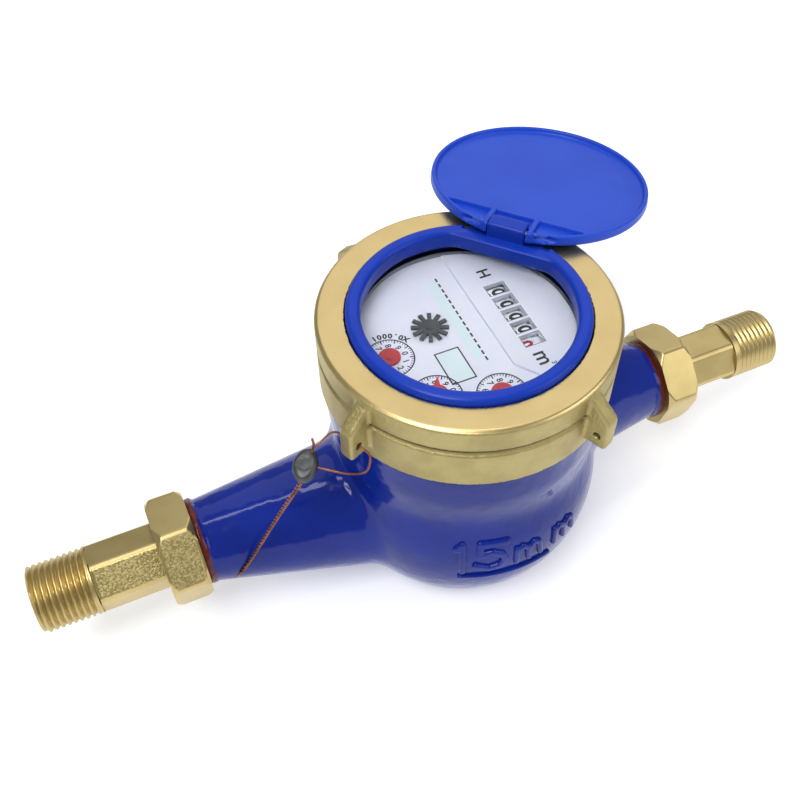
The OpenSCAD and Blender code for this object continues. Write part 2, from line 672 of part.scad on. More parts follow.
// Normals carried along the curve, so that the tube doesn't twist
function carried(c, i, n) = let (t = heading(c, i), m = unit(n - (n * t) * t))
    i == len(c) - 1 ? [m] : concat([m], carried(c, i + 1, m));
module tube(c, r, sides) {
    n = carried(c, 0, [0, 0, 1]);
    count = len(c);
    polyhedron(
        points = [for (i = [0:count - 1], k = [0:sides - 1]) let (b = cross(heading(c, i), n[i]))
            c[i] + r * (cos(360 * k / sides) * n[i] + sin(360 * k / sides) * b)],
        faces = concat([[for (k = [0:sides - 1]) k]],
            [for (i = [0:count - 2], k = [0:sides - 1]) let (j = (k + 1) % sides)
                [i * sides + j, i * sides + k, (i + 1) * sides + k, (i + 1) * sides + j]],
            [[for (k = [sides - 1:-1:0]) (count - 1) * sides + k]]));
}
module seal_wire() color("chocolate") tube(curve(WIRE), wire_r, 8);
module seal_pellet() {
    v = pellet_top - pellet_at;
    half = pellet_len / 2 - pellet_r;
    color("slategray") translate(pellet_at) rotate([0, acos(v[2] / norm(v)), atan2(v[1], v[0])])
    intersection() {
        union() {
            translate([0, 0, -half]) cylinder(h = 2 * half, r = pellet_r);
            for (s = [-half, half]) translate([0, 0, s]) sphere(pellet_r);
        }
        cube([1.5 * pellet_r, 4 * pellet_r, 4 * pellet_len], center = true);
    }
}

body_casting();
cover_ring();
dial_bezel();
hinge_pin();
lid();
dial_glass();
glass_gasket();
body_gasket();
dial_plate();
register_cup();
drum_axle();
carry_axle();
chamber_cover();
measuring_chamber();
strainer_basket();
impeller_pivot();
impeller();
star_arbor();
leak_star();
idler_1();
idler_2();
idler_3();
hand_arbor_1();
hand_arbor_2();
hand_arbor_3();
hand_1();
hand_2();
hand_3();
worm_arbor();
drum_1();
drum_2();
drum_3();
drum_4();
drum_5();
carry_pinion_1();
carry_pinion_2();
carry_pinion_3();
carry_pinion_4();
inlet_nut();
outlet_nut();
inlet_tailpiece();
outlet_tailpiece();
inlet_washer();
outlet_washer();
seal_wire();
seal_pellet();
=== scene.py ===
"""Looks of a multi-jet water meter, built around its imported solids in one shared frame."""

import logging
import math
from dataclasses import dataclass
from enum import Enum
from itertools import product
from typing import Any, Callable, Sequence

import bpy
import numpy as np
from mathutils import Matrix, Vector


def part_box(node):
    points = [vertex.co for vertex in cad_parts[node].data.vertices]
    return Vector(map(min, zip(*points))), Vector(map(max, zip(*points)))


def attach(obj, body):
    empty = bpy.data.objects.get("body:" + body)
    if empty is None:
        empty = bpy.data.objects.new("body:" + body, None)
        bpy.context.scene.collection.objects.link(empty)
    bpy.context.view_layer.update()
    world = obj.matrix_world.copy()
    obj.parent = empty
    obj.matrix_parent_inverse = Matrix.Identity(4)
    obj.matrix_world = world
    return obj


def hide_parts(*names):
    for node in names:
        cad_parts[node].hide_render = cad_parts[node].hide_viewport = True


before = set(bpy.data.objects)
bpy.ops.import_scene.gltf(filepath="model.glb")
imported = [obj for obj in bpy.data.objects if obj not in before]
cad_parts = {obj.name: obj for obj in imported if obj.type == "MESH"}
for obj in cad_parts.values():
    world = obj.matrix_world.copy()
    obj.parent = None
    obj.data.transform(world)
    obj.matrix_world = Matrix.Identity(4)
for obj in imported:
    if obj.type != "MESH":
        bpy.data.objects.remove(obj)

LOG = logging.getLogger("water_meter")
MM = 0.001
PIPE_Z = 34.0
RING_TOP = 97.5
HINGE_ANGLE = math.radians(43)
HINGE_OUT = 32.0
HINGE_Z = 101.4
LID_OPEN = math.radians(189)
DIAL_TOP = 87.9
PLATEAU = 88.8
GROOVE_Z = 88.3
LUG_ANGLE = -156.0
WIRE_HOLE = (47.376, 83.1, 1.1)

Array = np.ndarray
Field = Callable[[Array, Array, Array], Array]
Shape = tuple[Array, list[list[int]]]


class Slot(str, Enum):
    """Material slots of the record."""

    ENAMEL = "enamel"
    RING = "ring_brass"
    FITTING = "fitting_brass"
    COVER = "cover_plastic"
    STEEL = "steel"
    GLASS = "glass"
    RUBBER = "rubber"
    DIAL = "dial_plastic"
    INSERT = "insert_plastic"
    GEAR = "gear_plastic"
    STAR = "star_plastic"
    POINTER = "pointer_plastic"
    LITRE = "litre_drum"
    FIGURE = "figure_drum"
    COPPER = "copper"
    LEAD = "lead"


class Side(Enum):
    """The two ends of the pipe line: direction along X and the casting's end face."""

    INLET = (-1, -92.0)
    OUTLET = (1, 73.0)


# Rounded solids from distance fields


def smin(a: Array, b: Array, k: float) -> Array:
    """Smaller of two distances, with a fillet of about k between them."""
    h = np.clip(0.5 + 0.5 * (b - a) / k, 0.0, 1.0)
    return b + (a - b) * h - k * h * (1.0 - h)


def smax(a: Array, b: Array, k: float) -> Array:
    """Larger of two distances, with a rounded edge of about k between them."""
    return -smin(-a, -b, k)


def rect(u: Array, v: Array, us: tuple[float, float], vs: tuple[float, float], rounding: float = 0.0) -> Array:
    """Distance to a rectangle.

    Args:
        u: First coordinate.
        v: Second coordinate.
        us: Lowest and highest u.
        vs: Lowest and highest v.
        rounding: Radius of its corners.
    Returns:
        Signed distance, negative inside.
    """
    du = np.abs(u - (us[0] + us[1]) / 2) - (us[1] - us[0]) / 2 + rounding
    dv = np.abs(v - (vs[0] + vs[1]) / 2) - (vs[1] - vs[0]) / 2 + rounding
    return np.minimum(np.maximum(du, dv), 0) + np.hypot(np.maximum(du, 0), np.maximum(dv, 0)) - rounding


def taper(x: Array, y: Array, z: Array, start: Sequence[float], end: Sequence[float]) -> Array:
    """Distance to a tapered round bar in the X-Z plane.

    Args:
        x, y, z: Coordinates.
        start: X, Z and radius at the first end.
        end: X, Z and radius at the second end.
    Returns:
        Signed distance, negative inside.
    """
    run, rise = end[0] - start[0], end[1] - start[1]
    length = math.hypot(run, rise)
    ux, uz = run / length, rise / length
    s = (x - start[0]) * ux + (z - start[1]) * uz
    rho = np.sqrt((x - start[0] - s * ux) ** 2 + y**2 + (z - start[1] - s * uz) ** 2)
    slope = (end[2] - start[2]) / length
    wall = (rho - start[2] - slope * s) / math.hypot(1.0, slope)
    return smax(wall, np.maximum(-s, s - length), 0.6)


def settle(field: Field, points: Array, reach: float, rounds: int = 4) -> Array:
    """Moves points onto the surface where a field is zero.

    Args:
        field: Distance field.
        points: Points close to the surface, one row each.
        reach: Longest step along one axis.
        rounds: Number of steps.
    Returns:
        The moved points.
    """
    e = 0.02
    for _ in range(rounds):
        x, y, z = points.T
        slope = np.column_stack([field(x + e, y, z) - field(x - e, y, z), field(x, y + e, z) - field(x, y - e, z),
                                 field(x, y, z + e) - field(x, y, z - e)]) / (2 * e)
        size = np.maximum((slope**2).sum(axis=1), 0.25)
        points = points + np.clip(-(field(x, y, z) / size)[:, None] * slope, -reach, reach)
    return points


def skin(field: Field, low: Sequence[float], high: Sequence[float], step: float) -> Shape:
    """Closed quad mesh of the surface where a field is zero.

    Args:
        field: Distance field in millimetres, negative inside.
        low: Lowest corner of the solid.
        high: Highest corner of the solid.
        step: Size of a mesh cell.
    Returns:
        Points and faces.
    """
    axes = [np.arange(a - 2.3 * step, b + 2.3 * step, step) for a, b in zip(low, high)]
    solid = field(*np.meshgrid(*axes, indexing="ij")) < 0
    shape = solid.shape
    corners = sum(solid[i:shape[0] - 1 + i, j:shape[1] - 1 + j, k:shape[2] - 1 + k].astype(np.int8)
                  for i, j, k in product((0, 1), repeat=3))
    mixed = (corners > 0) & (corners < 8)
    index = np.full(mixed.shape, -1)
    index[mixed] = np.arange(mixed.sum())
    cells = np.argwhere(mixed)
    points = np.column_stack([axes[k][cells[:, k]] for k in range(3)]) + step / 2
    unit = np.eye(3, dtype=int)
    quads = []
    for a in range(3):
        b, c = (a + 1) % 3, (a + 2) % 3
        near = solid.take(range(shape[a] - 1), axis=a)
        at = np.argwhere(near != solid.take(range(1, shape[a]), axis=a))
        ring = [at - unit[b] - unit[c], at - unit[c], at, at - unit[b]]
        quad = np.column_stack([index[tuple(q.T)] for q in ring])
        inward = ~near[tuple(at.T)]
        quad[inward] = quad[inward][:, ::-1]
        quads.append(quad)
    faces = np.concatenate(quads)
    points = settle(field, points, step)
    for _ in range(2):
        points = settle(field, relaxed(points, faces), step, 2)
    return points, faces.tolist()


def relaxed(points: Array, faces: Array) -> Array:
    """Points moved half way to the mean of their neighbours.

    Args:
        points: Points, one row each.
        faces: Quads.
    Returns:
        The moved points.
    """
    total, count = np.zeros_like(points), np.zeros(len(points))
    for k in range(4):
        here, there = faces[:, k], faces[:, (k + 1) % 4]
        np.add.at(total, here, points[there])
        np.add.at(total, there, points[here])
        np.add.at(count, here, 1)
        np.add.at(count, there, 1)
    return 0.5 * points + 0.5 * total / np.maximum(count, 1)[:, None]


def joined(shapes: Sequence[Shape]) -> Shape:
    """Several shapes as one.

    Args:
        shapes: Points and faces of each.
    Returns:
        Points and faces.
    """
    points, faces, start = [], [], 0
    for p, f in shapes:
        points.append(p)
        faces += [[i + start for i in face] for face in f]
        start += len(p)
    return np.concatenate(points), faces


def swept(path: Array, radius: float, sides: int) -> Shape:
    """Closed round tube along a path.

    Args:
        path: Points of the centreline.
        radius: Radius of the tube.
        sides: Number of sides.
    Returns:
        Points and faces.
    """
    ahead = np.gradient(path, axis=0)
    ahead /= np.linalg.norm(ahead, axis=1)[:, None]
    normal = np.cross(ahead[0], [0.3, 0.5, 0.8])
    rings = []
    for point, way in zip(path, ahead):
        normal = normal - way * normal.dot(way)
        normal /= np.linalg.norm(normal)
        other = np.cross(way, normal)
        rings += [point + radius * (math.cos(a) * normal + math.sin(a) * other)
                  for a in np.arange(sides) * 2 * math.pi / sides]
    count = len(path)
    faces = [[i * sides + k, i * sides + (k + 1) % sides, (i + 1) * sides + (k + 1) % sides, (i + 1) * sides + k]
             for i in range(count - 1) for k in range(sides)]
    faces += [list(range(sides))[::-1], [(count - 1) * sides + k for k in range(sides)]]
    return np.array(rings), faces


def spline(points: Sequence[Sequence[float]], steps: int) -> Array:
    """Smooth curve through points.

    Args:
        points: Points that it passes.
        steps: Number of steps between two of them.
    Returns:
        Points of the curve.
    """
    p = np.array(points, float)
    p = np.concatenate([p[:1], p, p[-1:]])
    t = np.arange(steps)[:, None] / steps
    out = [0.5 * (2 * b + (c - a) * t + (2 * a - 5 * b + 4 * c - d) * t**2 + (3 * b - a - 3 * c + d) * t**3)
           for a, b, c, d in zip(p[:-3], p[1:-2], p[2:-1], p[3:])]
    return np.concatenate(out + [p[-1:]])


def length_of(path: Array) -> float:
    """Length of a path."""
    return float(np.linalg.norm(np.diff(path, axis=0), axis=1).sum())


# Objects


def as_mesh(name: str, shape: Shape, sharp: float) -> bpy.types.Mesh:
    """Blender mesh in metres of a shape in millimetres.

    Args:
        name: Name of the mesh.
        shape: Points and faces.
        sharp: Edges over this angle in degrees stay sharp.
    Returns:
        The mesh.
    """
    mesh = bpy.data.meshes.new(name)
    mesh.from_pydata((np.asarray(shape[0]) * MM).tolist(), [], shape[1])
    mesh.validate()
    mesh.shade_smooth()
    mesh.set_sharp_from_angle(angle=math.radians(sharp))
    return mesh


def add_piece(name: str, shape: Shape, material: bpy.types.Material, body: str,
              stands_for: Sequence[str] = (), sharp: float = 40.0) -> bpy.types.Object:
    """Adds a piece to the scene and ties it to a body.

    Args:
        name: Name of the piece.
        shape: Points in millimetres, and faces.
        material: Its finish.
        body: The body that it moves with.
        stands_for: Solids that it replaces.
        sharp: Edges over this angle in degrees stay sharp.
    Returns:
        The new object.
    """
    obj = bpy.data.objects.new(name, as_mesh(name, shape, sharp))
    bpy.context.scene.collection.objects.link(obj)
    obj.data.materials.append(material)
    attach(obj, body)
    if stands_for:
        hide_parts(*stands_for)
    LOG.info("piece %s: %d faces", name, len(obj.data.polygons))
    return obj


def mark_points(obj: bpy.types.Object, name: str, values: Array) -> None:
    """Stores one number for each point of a piece."""
    obj.data.attributes.new(name, "FLOAT", "POINT").data.foreach_set("value", np.asarray(values, np.float32))


def evaluated(obj: bpy.types.Object) -> Shape:
    """Takes an object's final mesh in millimetres and removes the object.

    Args:
        obj: The object.
    Returns:
        Points and faces.
    """
    dg = bpy.context.evaluated_depsgraph_get()
    mesh = bpy.data.meshes.new_from_object(obj.evaluated_get(dg))
    points = np.empty(len(mesh.vertices) * 3)
    mesh.vertices.foreach_get("co", points)
    faces = [list(p.vertices) for p in mesh.polygons]
    bpy.data.objects.remove(obj)
    bpy.data.meshes.remove(mesh)
    return points.reshape(-1, 3), faces


def lettering(words: str, height: float, bold: float = 0.0, depth: float = 0.012) -> Shape:
    """Figures as a thin solid around the origin, reading along X.

    Args:
        words: What to write.
        height: Height of the tallest figure in millimetres.
        bold: How far each edge is moved outwards, as a share of the letter size.
        depth: Half the thickness.
    Returns:
        Points and faces.
    """
    curve = bpy.data.curves.new("lettering", "FONT")
    curve.body = words
    curve.resolution_u = 3
    curve.extrude, curve.offset = 1.0, bold
    obj = bpy.data.objects.new("lettering", curve)
    bpy.context.scene.collection.objects.link(obj)
    points, faces = evaluated(obj)
    low, high = points.min(axis=0), points.max(axis=0)
    scale = height / (high[1] - low[1])
    points[:, :2] = (points[:, :2] - (low + high)[:2] / 2) * scale
    points[:, 2] *= depth
    return points, faces


# Geometry Nodes


class Grown:
    """A Geometry Nodes tree with named inputs that is turned into a plain shape."""

    def __init__(self, name: str, inputs: dict[str, str]) -> None:
        """Starts a tree.

        Args:
            name: Name of the tree.
            inputs: Socket type by input name.
        """
        self.tree = bpy.data.node_groups.new(name, "GeometryNodeTree")
        self.tree.interface.new_socket("Geometry", in_out="OUTPUT", socket_type="NodeSocketGeometry")
        for label, kind in inputs.items():
            self.tree.interface.new_socket(label, in_out="INPUT", socket_type=kind)
        self.given = self.tree.nodes.new("NodeGroupInput")

    def add(self, kind: str, sockets: dict[str, Any], **settings: Any) -> bpy.types.Node:
        """Adds a node, sets it up and fills its sockets.

        Args:
            kind: Type of the node.
            sockets: Value or link by socket.
            settings: Values of its properties.
        Returns:
            The node.
        """
        node = self.tree.nodes.new(kind)
        for key, value in settings.items():
            setattr(node, key, value)
        for key, value in sockets.items():
            if isinstance(value, bpy.types.NodeSocket):
                self.tree.links.new(value, node.inputs[key])
            else:
                node.inputs[key].default_value = value
        return node

    def close(self, instances: bpy.types.NodeSocket) -> None:
        """Ends the tree in plain geometry with its material.

        Args:
            instances: Geometry to end with.
        """
        real = self.add("GeometryNodeRealizeInstances", {"Geometry": instances})
        dressed = self.add("GeometryNodeSetMaterial", {"Geometry": real.outputs[0],
                                                       "Material": self.given.outputs["Material"]})
        out = self.tree.nodes.new("NodeGroupOutput")
        self.tree.links.new(dressed.outputs[0], out.inputs[0])

    def shape(self, **values: Any) -> Shape:
        """Grows the tree with the given inputs, in millimetres.

        Args:
            values: Value by input name.
        Returns:
            Points and faces.
        """
        obj = bpy.data.objects.new(self.tree.name, bpy.data.meshes.new(self.tree.name))
        bpy.context.scene.collection.objects.link(obj)
        modifier = obj.modifiers.new("grow", "NODES")
        modifier.node_group = self.tree
        for item in self.tree.interface.items_tree:
            if item.in_out == "INPUT":
                modifier[item.identifier] = values[item.name]
        return evaluated(obj)


def tick_ring() -> Grown:
    """Tree of short bars that point outwards from a circle.

    Returns:
        The tree.
    """
    grown = Grown("tick_ring", {"Count": "NodeSocketInt", "Radius": "NodeSocketFloat", "Bar": "NodeSocketVector",
                                "Material": "NodeSocketMaterial"})
    circle = grown.add("GeometryNodeMeshCircle", {"Vertices": grown.given.outputs["Count"],
                                                  "Radius": grown.given.outputs["Radius"]})
    bar = grown.add("GeometryNodeMeshCube", {"Size": grown.given.outputs["Bar"]})
    place = grown.tree.nodes.new("GeometryNodeInputPosition")
    turn = grown.add("FunctionNodeAlignRotationToVector", {"Vector": place.outputs[0]}, axis="X")
    spread = grown.add("GeometryNodeInstanceOnPoints", {"Points": circle.outputs[0], "Instance": bar.outputs[0],
                                                        "Rotation": turn.outputs[0]})
    grown.close(spread.outputs[0])
    return grown


def dash_row() -> Grown:
    """Tree of equal bars along Y, centred on the origin.

    Returns:
        The tree.
    """
    grown = Grown("dash_row", {"Count": "NodeSocketInt", "Start": "NodeSocketVector", "Pitch": "NodeSocketVector",
                               "Bar": "NodeSocketVector", "Material": "NodeSocketMaterial"})
    line = grown.add("GeometryNodeMeshLine", {"Count": grown.given.outputs["Count"],
                                              "Start Location": grown.given.outputs["Start"],
                                              "Offset": grown.given.outputs["Pitch"]}, mode="OFFSET")
    bar = grown.add("GeometryNodeMeshCube", {"Size": grown.given.outputs["Bar"]})
    spread = grown.add("GeometryNodeInstanceOnPoints", {"Points": line.outputs[0], "Instance": bar.outputs[0]})
    grown.close(spread.outputs[0])
    return grown


# Finishes


class Graph:
    """One material's node tree, built in few words. Lengths are in metres of Object coordinates."""

    def __init__(self, name: str) -> None:
        """Starts a material with its shader and Object coordinates.

        Args:
            name: Name of the material.
        """
        self.material = bpy.data.materials.new(name)
        self.material.use_nodes = True
        self.tree = self.material.node_tree
        self.shader = self.tree.nodes["Principled BSDF"]
        self.place = self.add("ShaderNodeTexCoord").outputs["Object"]

    def add(self, kind: str, sockets: dict[Any, Any] | None = None, **settings: Any) -> bpy.types.Node:
        """Adds a node, sets it up and fills its sockets.

        Args:
            kind: Type of the node.
            sockets: Value or link by socket.
            settings: Values of its properties.
        Returns:
            The node.
        """
        node = self.tree.nodes.new(kind)
        for key, value in settings.items():
            setattr(node, key, value)
        for key, value in (sockets or {}).items():
            self.fill(node.inputs[key], value)
        return node

    def fill(self, socket: bpy.types.NodeSocket, value: Any) -> None:
        """Links a socket, or sets its value.

        Args:
            socket: The socket.
            value: Value or link.
        """
        if isinstance(value, bpy.types.NodeSocket):
            self.tree.links.new(value, socket)
        elif socket.type == "RGBA":
            socket.default_value = (*value, 1.0)
        else:
            socket.default_value = value

    def noise(self, scale: float, detail: float = 3.0, rough: float = 0.55) -> bpy.types.NodeSocket:
        """Soft random pattern with scale features in a metre."""
        return self.add("ShaderNodeTexNoise", {"Vector": self.place, "Scale": scale, "Detail": detail,
                                               "Roughness": rough}).outputs["Fac"]

    def axis(self, name: str) -> bpy.types.NodeSocket:
        """One Object coordinate."""
        return self.add("ShaderNodeSeparateXYZ", {0: self.place}).outputs[name]

    def calc(self, operation: str, a: Any, b: Any = 0.0) -> bpy.types.NodeSocket:
        """Sum, product or other value of two numbers."""
        return self.add("ShaderNodeMath", {0: a, 1: b}, operation=operation).outputs[0]

    def span(self, value: Any, start: float, end: float, low: float = 0.0, high: float = 1.0) -> bpy.types.NodeSocket:
        """Value mapped smoothly from one range to another."""
        return self.add("ShaderNodeMapRange", {"Value": value, "From Min": start, "From Max": end, "To Min": low,
                                               "To Max": high}, interpolation_type="SMOOTHSTEP").outputs[0]

    def mix(self, factor: Any, a: Any, b: Any) -> bpy.types.NodeSocket:
        """Blend of two colours."""
        return self.add("ShaderNodeMix", {0: factor, 6: a, 7: b}, data_type="RGBA").outputs[2]

    def bump(self, height: Any, strength: float, depth: float, before: Any = None) -> bpy.types.NodeSocket:
        """Normal of a fine relief, depth metres high.

        Args:
            height: Height pattern.
            strength: Strength from 0 to 1.
            depth: Height in metres.
            before: Normal that it adds to.
        Returns:
            The normal.
        """
        sockets = {"Height": height, "Strength": strength, "Distance": depth}
        if before is not None:
            sockets["Normal"] = before
        return self.add("ShaderNodeBump", sockets).outputs[0]

    def set(self, **sockets: Any) -> bpy.types.Material:
        """Fills the shader's sockets, with _ for a blank in a name, and returns the material.

        Args:
            sockets: Value or link by socket name.
        Returns:
            The material.
        """
        for key, value in sockets.items():
            self.fill(self.shader.inputs[key.replace("_", " ")], value)
        return self.material


RGB = tuple[float, float, float]


@dataclass(frozen=True)
class Moulded:
    """Plain moulded plastic, rubber or glossy ink.

    Attributes:
        name: Name of the material.
        colour: Main colour.
        shade: Second colour of its faint mottling.
        roughness: Mean roughness.
        grain: Features of the surface in a metre.
        depth: Height of the surface relief in metres.
        sheen: Strength of its plain reflection.
    """

    name: str
    colour: RGB
    shade: RGB
    roughness: float = 0.45
    grain: float = 900.0
    depth: float = 0.00002
    sheen: float = 0.5

    def material(self) -> bpy.types.Material:
        """Builds the material.

        Returns:
            The material.
        """
        g = Graph(self.name)
        cloud, fine = g.noise(45.0), g.noise(self.grain, 5.0)
        colour = g.mix(g.span(cloud, 0.35, 0.68), self.colour, self.shade)
        rough = g.calc("ADD", self.roughness - 0.06, g.calc("MULTIPLY", fine, 0.12))
        return g.set(Base_Color=colour, Roughness=rough, Specular_IOR_Level=self.sheen,
                     Normal=g.bump(fine, 0.25, self.depth))


@dataclass(frozen=True)
class PlainMetal:
    """Bare metal with tarnish and a fine relief.

    Attributes:
        name: Name of the material.
        colour: Clean metal.
        tarnish: Dulled metal.
        roughness: Mean roughness.
        grain: Features of the relief in a metre.
        depth: Height of the relief in metres.
    """

    name: str
    colour: RGB
    tarnish: RGB
    roughness: float
    grain: float
    depth: float

    def material(self) -> bpy.types.Material:
        """Builds the material.

        Returns:
            The material.
        """
        g = Graph(self.name)
        patch, fine = g.noise(160.0, 4.0), g.noise(self.grain, 4.0)
        colour = g.mix(g.span(patch, 0.4, 0.66), self.colour, self.tarnish)
        rough = g.calc("ADD", self.roughness - 0.08, g.calc("MULTIPLY", fine, 0.16))
        return g.set(Base_Color=colour, Metallic=1.0, Roughness=rough, Normal=g.bump(fine, 0.5, self.depth))


@dataclass(frozen=True)
class CastEnamel:
    """Cobalt enamel over a sand casting, with bare red primer on the two end collars.

    Attributes:
        blue: Enamel colour.
        deep: Enamel where it lies thick.
        primer: Red primer.
        inlet_x: X in metres where the inlet collar begins.
        outlet_x: X in metres where the outlet collar begins.
    """

    blue: RGB = (0.005, 0.022, 0.26)
    deep: RGB = (0.004, 0.016, 0.20)
    primer: RGB = (0.13, 0.018, 0.014)
    inlet_x: float = -0.0876
    outlet_x: float = 0.0686

    def material(self) -> bpy.types.Material:
        """Builds the material.

        Returns:
            The material.
        """
        g = Graph("cobalt_enamel")
        cloud, peel, sand = g.noise(30.0, 4.0), g.noise(105.0, 2.0), g.noise(700.0, 3.0)
        x = g.calc("ADD", g.axis("X"), g.calc("MULTIPLY", g.calc("SUBTRACT", g.noise(260.0), 0.5), 0.0022))
        inlet = g.span(x, self.inlet_x + 0.0003, self.inlet_x - 0.0003)
        outlet = g.span(x, self.outlet_x - 0.0003, self.outlet_x + 0.0003)
        bare = g.calc("MAXIMUM", inlet, outlet)
        paint = g.mix(g.span(cloud, 0.38, 0.64), self.blue, self.deep)
        rust = g.mix(g.span(sand, 0.35, 0.7), self.primer, (0.08, 0.012, 0.010))
        rough = g.calc("ADD", g.calc("MULTIPLY", bare, 0.36), g.calc("ADD", 0.10, g.calc("MULTIPLY", sand, 0.1)))
        soft = g.bump(peel, 0.6, 0.0007)
        return g.set(Base_Color=g.mix(bare, paint, rust), Roughness=rough, Coat_Weight=0.5, Coat_Roughness=0.09,
                     Coat_Normal=soft, Specular_IOR_Level=0.03, Normal=g.bump(sand, 0.06, 0.0001, soft))


@dataclass(frozen=True)
class RingBrass:
    """Brass ring: turned top with fine rings, sand-cast side and lugs.

    Attributes:
        turned: Colour of the turned top.
        cast: Colour of the cast side.
        dull: Colour of its darker patches.
        top_z: Height in metres of the turned face.
        groove_z: Height in metres of the groove, which gets a thin line of painted shade.
    """

    turned: RGB = (0.70, 0.54, 0.25)
    cast: RGB = (0.46, 0.385, 0.17)
    dull: RGB = (0.37, 0.305, 0.13)
    top_z: float = RING_TOP * MM
    groove_z: float = GROOVE_Z * MM

    def material(self) -> bpy.types.Material:
        """Builds the material.

        Returns:
            The material.
        """
        g = Graph("ring_brass")
        top = g.span(g.axis("Z"), self.top_z - 0.0009, self.top_z - 0.0003)
        lines = g.add("ShaderNodeTexWave", {"Vector": g.place, "Scale": 640.0, "Distortion": 1.5, "Detail": 2.0,
                                            "Detail Scale": 2.0},
                      wave_type="RINGS", rings_direction="Z").outputs["Fac"]
        sand, patch = g.noise(1200.0, 4.0, 0.65), g.noise(70.0, 3.0)
        side = g.mix(g.span(patch, 0.38, 0.66), self.cast, self.dull)
        out = g.calc("SQRT", g.calc("ADD", g.calc("POWER", g.axis("X"), 2.0), g.calc("POWER", g.axis("Y"), 2.0)))
        # Painted shade: a thin dark brown line on the ring's side along the groove, kept off the lugs.
        low = g.span(g.calc("ABSOLUTE", g.calc("SUBTRACT", g.axis("Z"), self.groove_z)), 0.0008, 0.0002)
        side = g.mix(g.calc("MULTIPLY", low, g.span(out, 0.0434, 0.0431)), side, (0.12, 0.095, 0.04))
        face = g.mix(g.span(g.noise(60.0), 0.35, 0.7), self.turned, (0.65, 0.49, 0.22))
        rough_top = g.calc("ADD", 0.29, g.calc("MULTIPLY", lines, 0.02))
        rough_side = g.calc("ADD", 0.40, g.calc("MULTIPLY", sand, 0.16))
        rough = g.add("ShaderNodeMix", {0: top, 2: rough_side, 3: rough_top}, data_type="FLOAT").outputs[0]
        fine = g.calc("MULTIPLY", lines, 0.001)
        relief = g.add("ShaderNodeMix", {0: top, 2: sand, 3: fine}, data_type="FLOAT").outputs[0]
        return g.set(Base_Color=g.mix(top, side, face), Metallic=1.0, Roughness=rough,
                     Normal=g.bump(relief, 0.75, 0.00032))


@dataclass(frozen=True)
class FittingBrass:
    """Brass of the couplings: satin flats, as-cast flats where the points say so, brighter threads.

    Attributes:
        satin: Colour of the machined flats.
        warm: Colour in the thread and its tarnish.
        pale: Sparkling grains of the cast flats.
    """

    satin: RGB = (0.58, 0.455, 0.20)
    warm: RGB = (0.53, 0.415, 0.185)
    pale: RGB = (0.64, 0.53, 0.24)

    def material(self) -> bpy.types.Material:
        """Builds the material.

        Returns:
            The material.
        """
        g = Graph("fitting_brass")
        cast = g.add("ShaderNodeAttribute", attribute_name="cast").outputs["Fac"]
        thread = g.add("ShaderNodeAttribute", attribute_name="thread").outputs["Fac"]
        grain, fine, cloud = g.noise(1500.0, 3.0, 0.6), g.noise(2600.0, 2.0), g.noise(90.0, 3.0)
        flat = g.mix(g.span(cloud, 0.36, 0.68), self.satin, (0.52, 0.405, 0.175))
        sparkle = g.mix(g.span(grain, 0.38, 0.62), (0.36, 0.28, 0.11), self.pale)
        colour = g.mix(thread, g.mix(cast, flat, sparkle), self.warm)
        rough = g.calc("ADD", 0.36, g.calc("MULTIPLY", cast, 0.08))
        rough = g.calc("ADD", rough, g.calc("MULTIPLY", thread, 0.02))
        relief = g.calc("ADD", g.calc("MULTIPLY", grain, cast), g.calc("MULTIPLY", fine, 0.05))
        return g.set(Base_Color=colour, Metallic=1.0, Roughness=rough, Normal=g.bump(relief, 0.8, 0.0003))


@dataclass(frozen=True)
class ClearGlass:
    """Clear cover glass.

    Attributes:
        tint: Colour of the glass.
        index: Refractive index, low because the dial's print is placed as it is seen.
    """

    tint: RGB = (0.97, 0.985, 1.0)
    index: float = 1.18

    def material(self) -> bpy.types.Material:
        """Builds the material.

        Returns:
            The material.
        """
        g = Graph("clear_glass")
        smear = g.calc("MULTIPLY", g.span(g.noise(55.0), 0.5, 0.8), 0.03)
        return g.set(Base_Color=self.tint, Roughness=smear, IOR=self.index, Transmission_Weight=1.0)


LID_BLUE = Moulded("lid_blue", (0.014, 0.070, 0.57), (0.012, 0.062, 0.53), 0.36, 1400.0, 0.000012, 0.25)
BEZEL_BLUE = Moulded("bezel_blue", (0.006, 0.042, 0.44), (0.005, 0.036, 0.39), 0.30, 1400.0, 0.000012, 0.22)
RUBBER = Moulded("black_rubber", (0.016, 0.016, 0.018), (0.024, 0.024, 0.026), 0.62, 1200.0, 0.00004)
GREY_RUBBER = Moulded("grey_rubber", (0.24, 0.25, 0.27), (0.20, 0.21, 0.23), 0.6, 1200.0, 0.00004)
DIAL = Moulded("dial_white", (0.86, 0.87, 0.96), (0.83, 0.84, 0.94), 0.42, 1600.0, 0.000008)
INSERT = Moulded("insert_ivory", (0.62, 0.58, 0.46), (0.57, 0.53, 0.41), 0.48, 800.0, 0.00003)
GEAR = Moulded("gear_acetal", (0.72, 0.70, 0.62), (0.66, 0.63, 0.55), 0.40, 1000.0, 0.00002)
STAR = Moulded("star_grey", (0.060, 0.066, 0.070), (0.045, 0.050, 0.054), 0.50, 1800.0, 0.000015)
RED = Moulded("pointer_red", (0.58, 0.035, 0.045), (0.50, 0.028, 0.036), 0.42, 1500.0, 0.000012)
DRUM = Moulded("drum_white", (0.86, 0.90, 0.95), (0.82, 0.86, 0.91), 0.46, 1500.0, 0.000012)
BLACK_INK = Moulded("black_ink", (0.012, 0.012, 0.016), (0.020, 0.020, 0.026), 0.50, 2400.0, 0.000004)
RED_INK = Moulded("red_ink", (0.42, 0.018, 0.026), (0.36, 0.014, 0.020), 0.50, 2400.0, 0.000004)
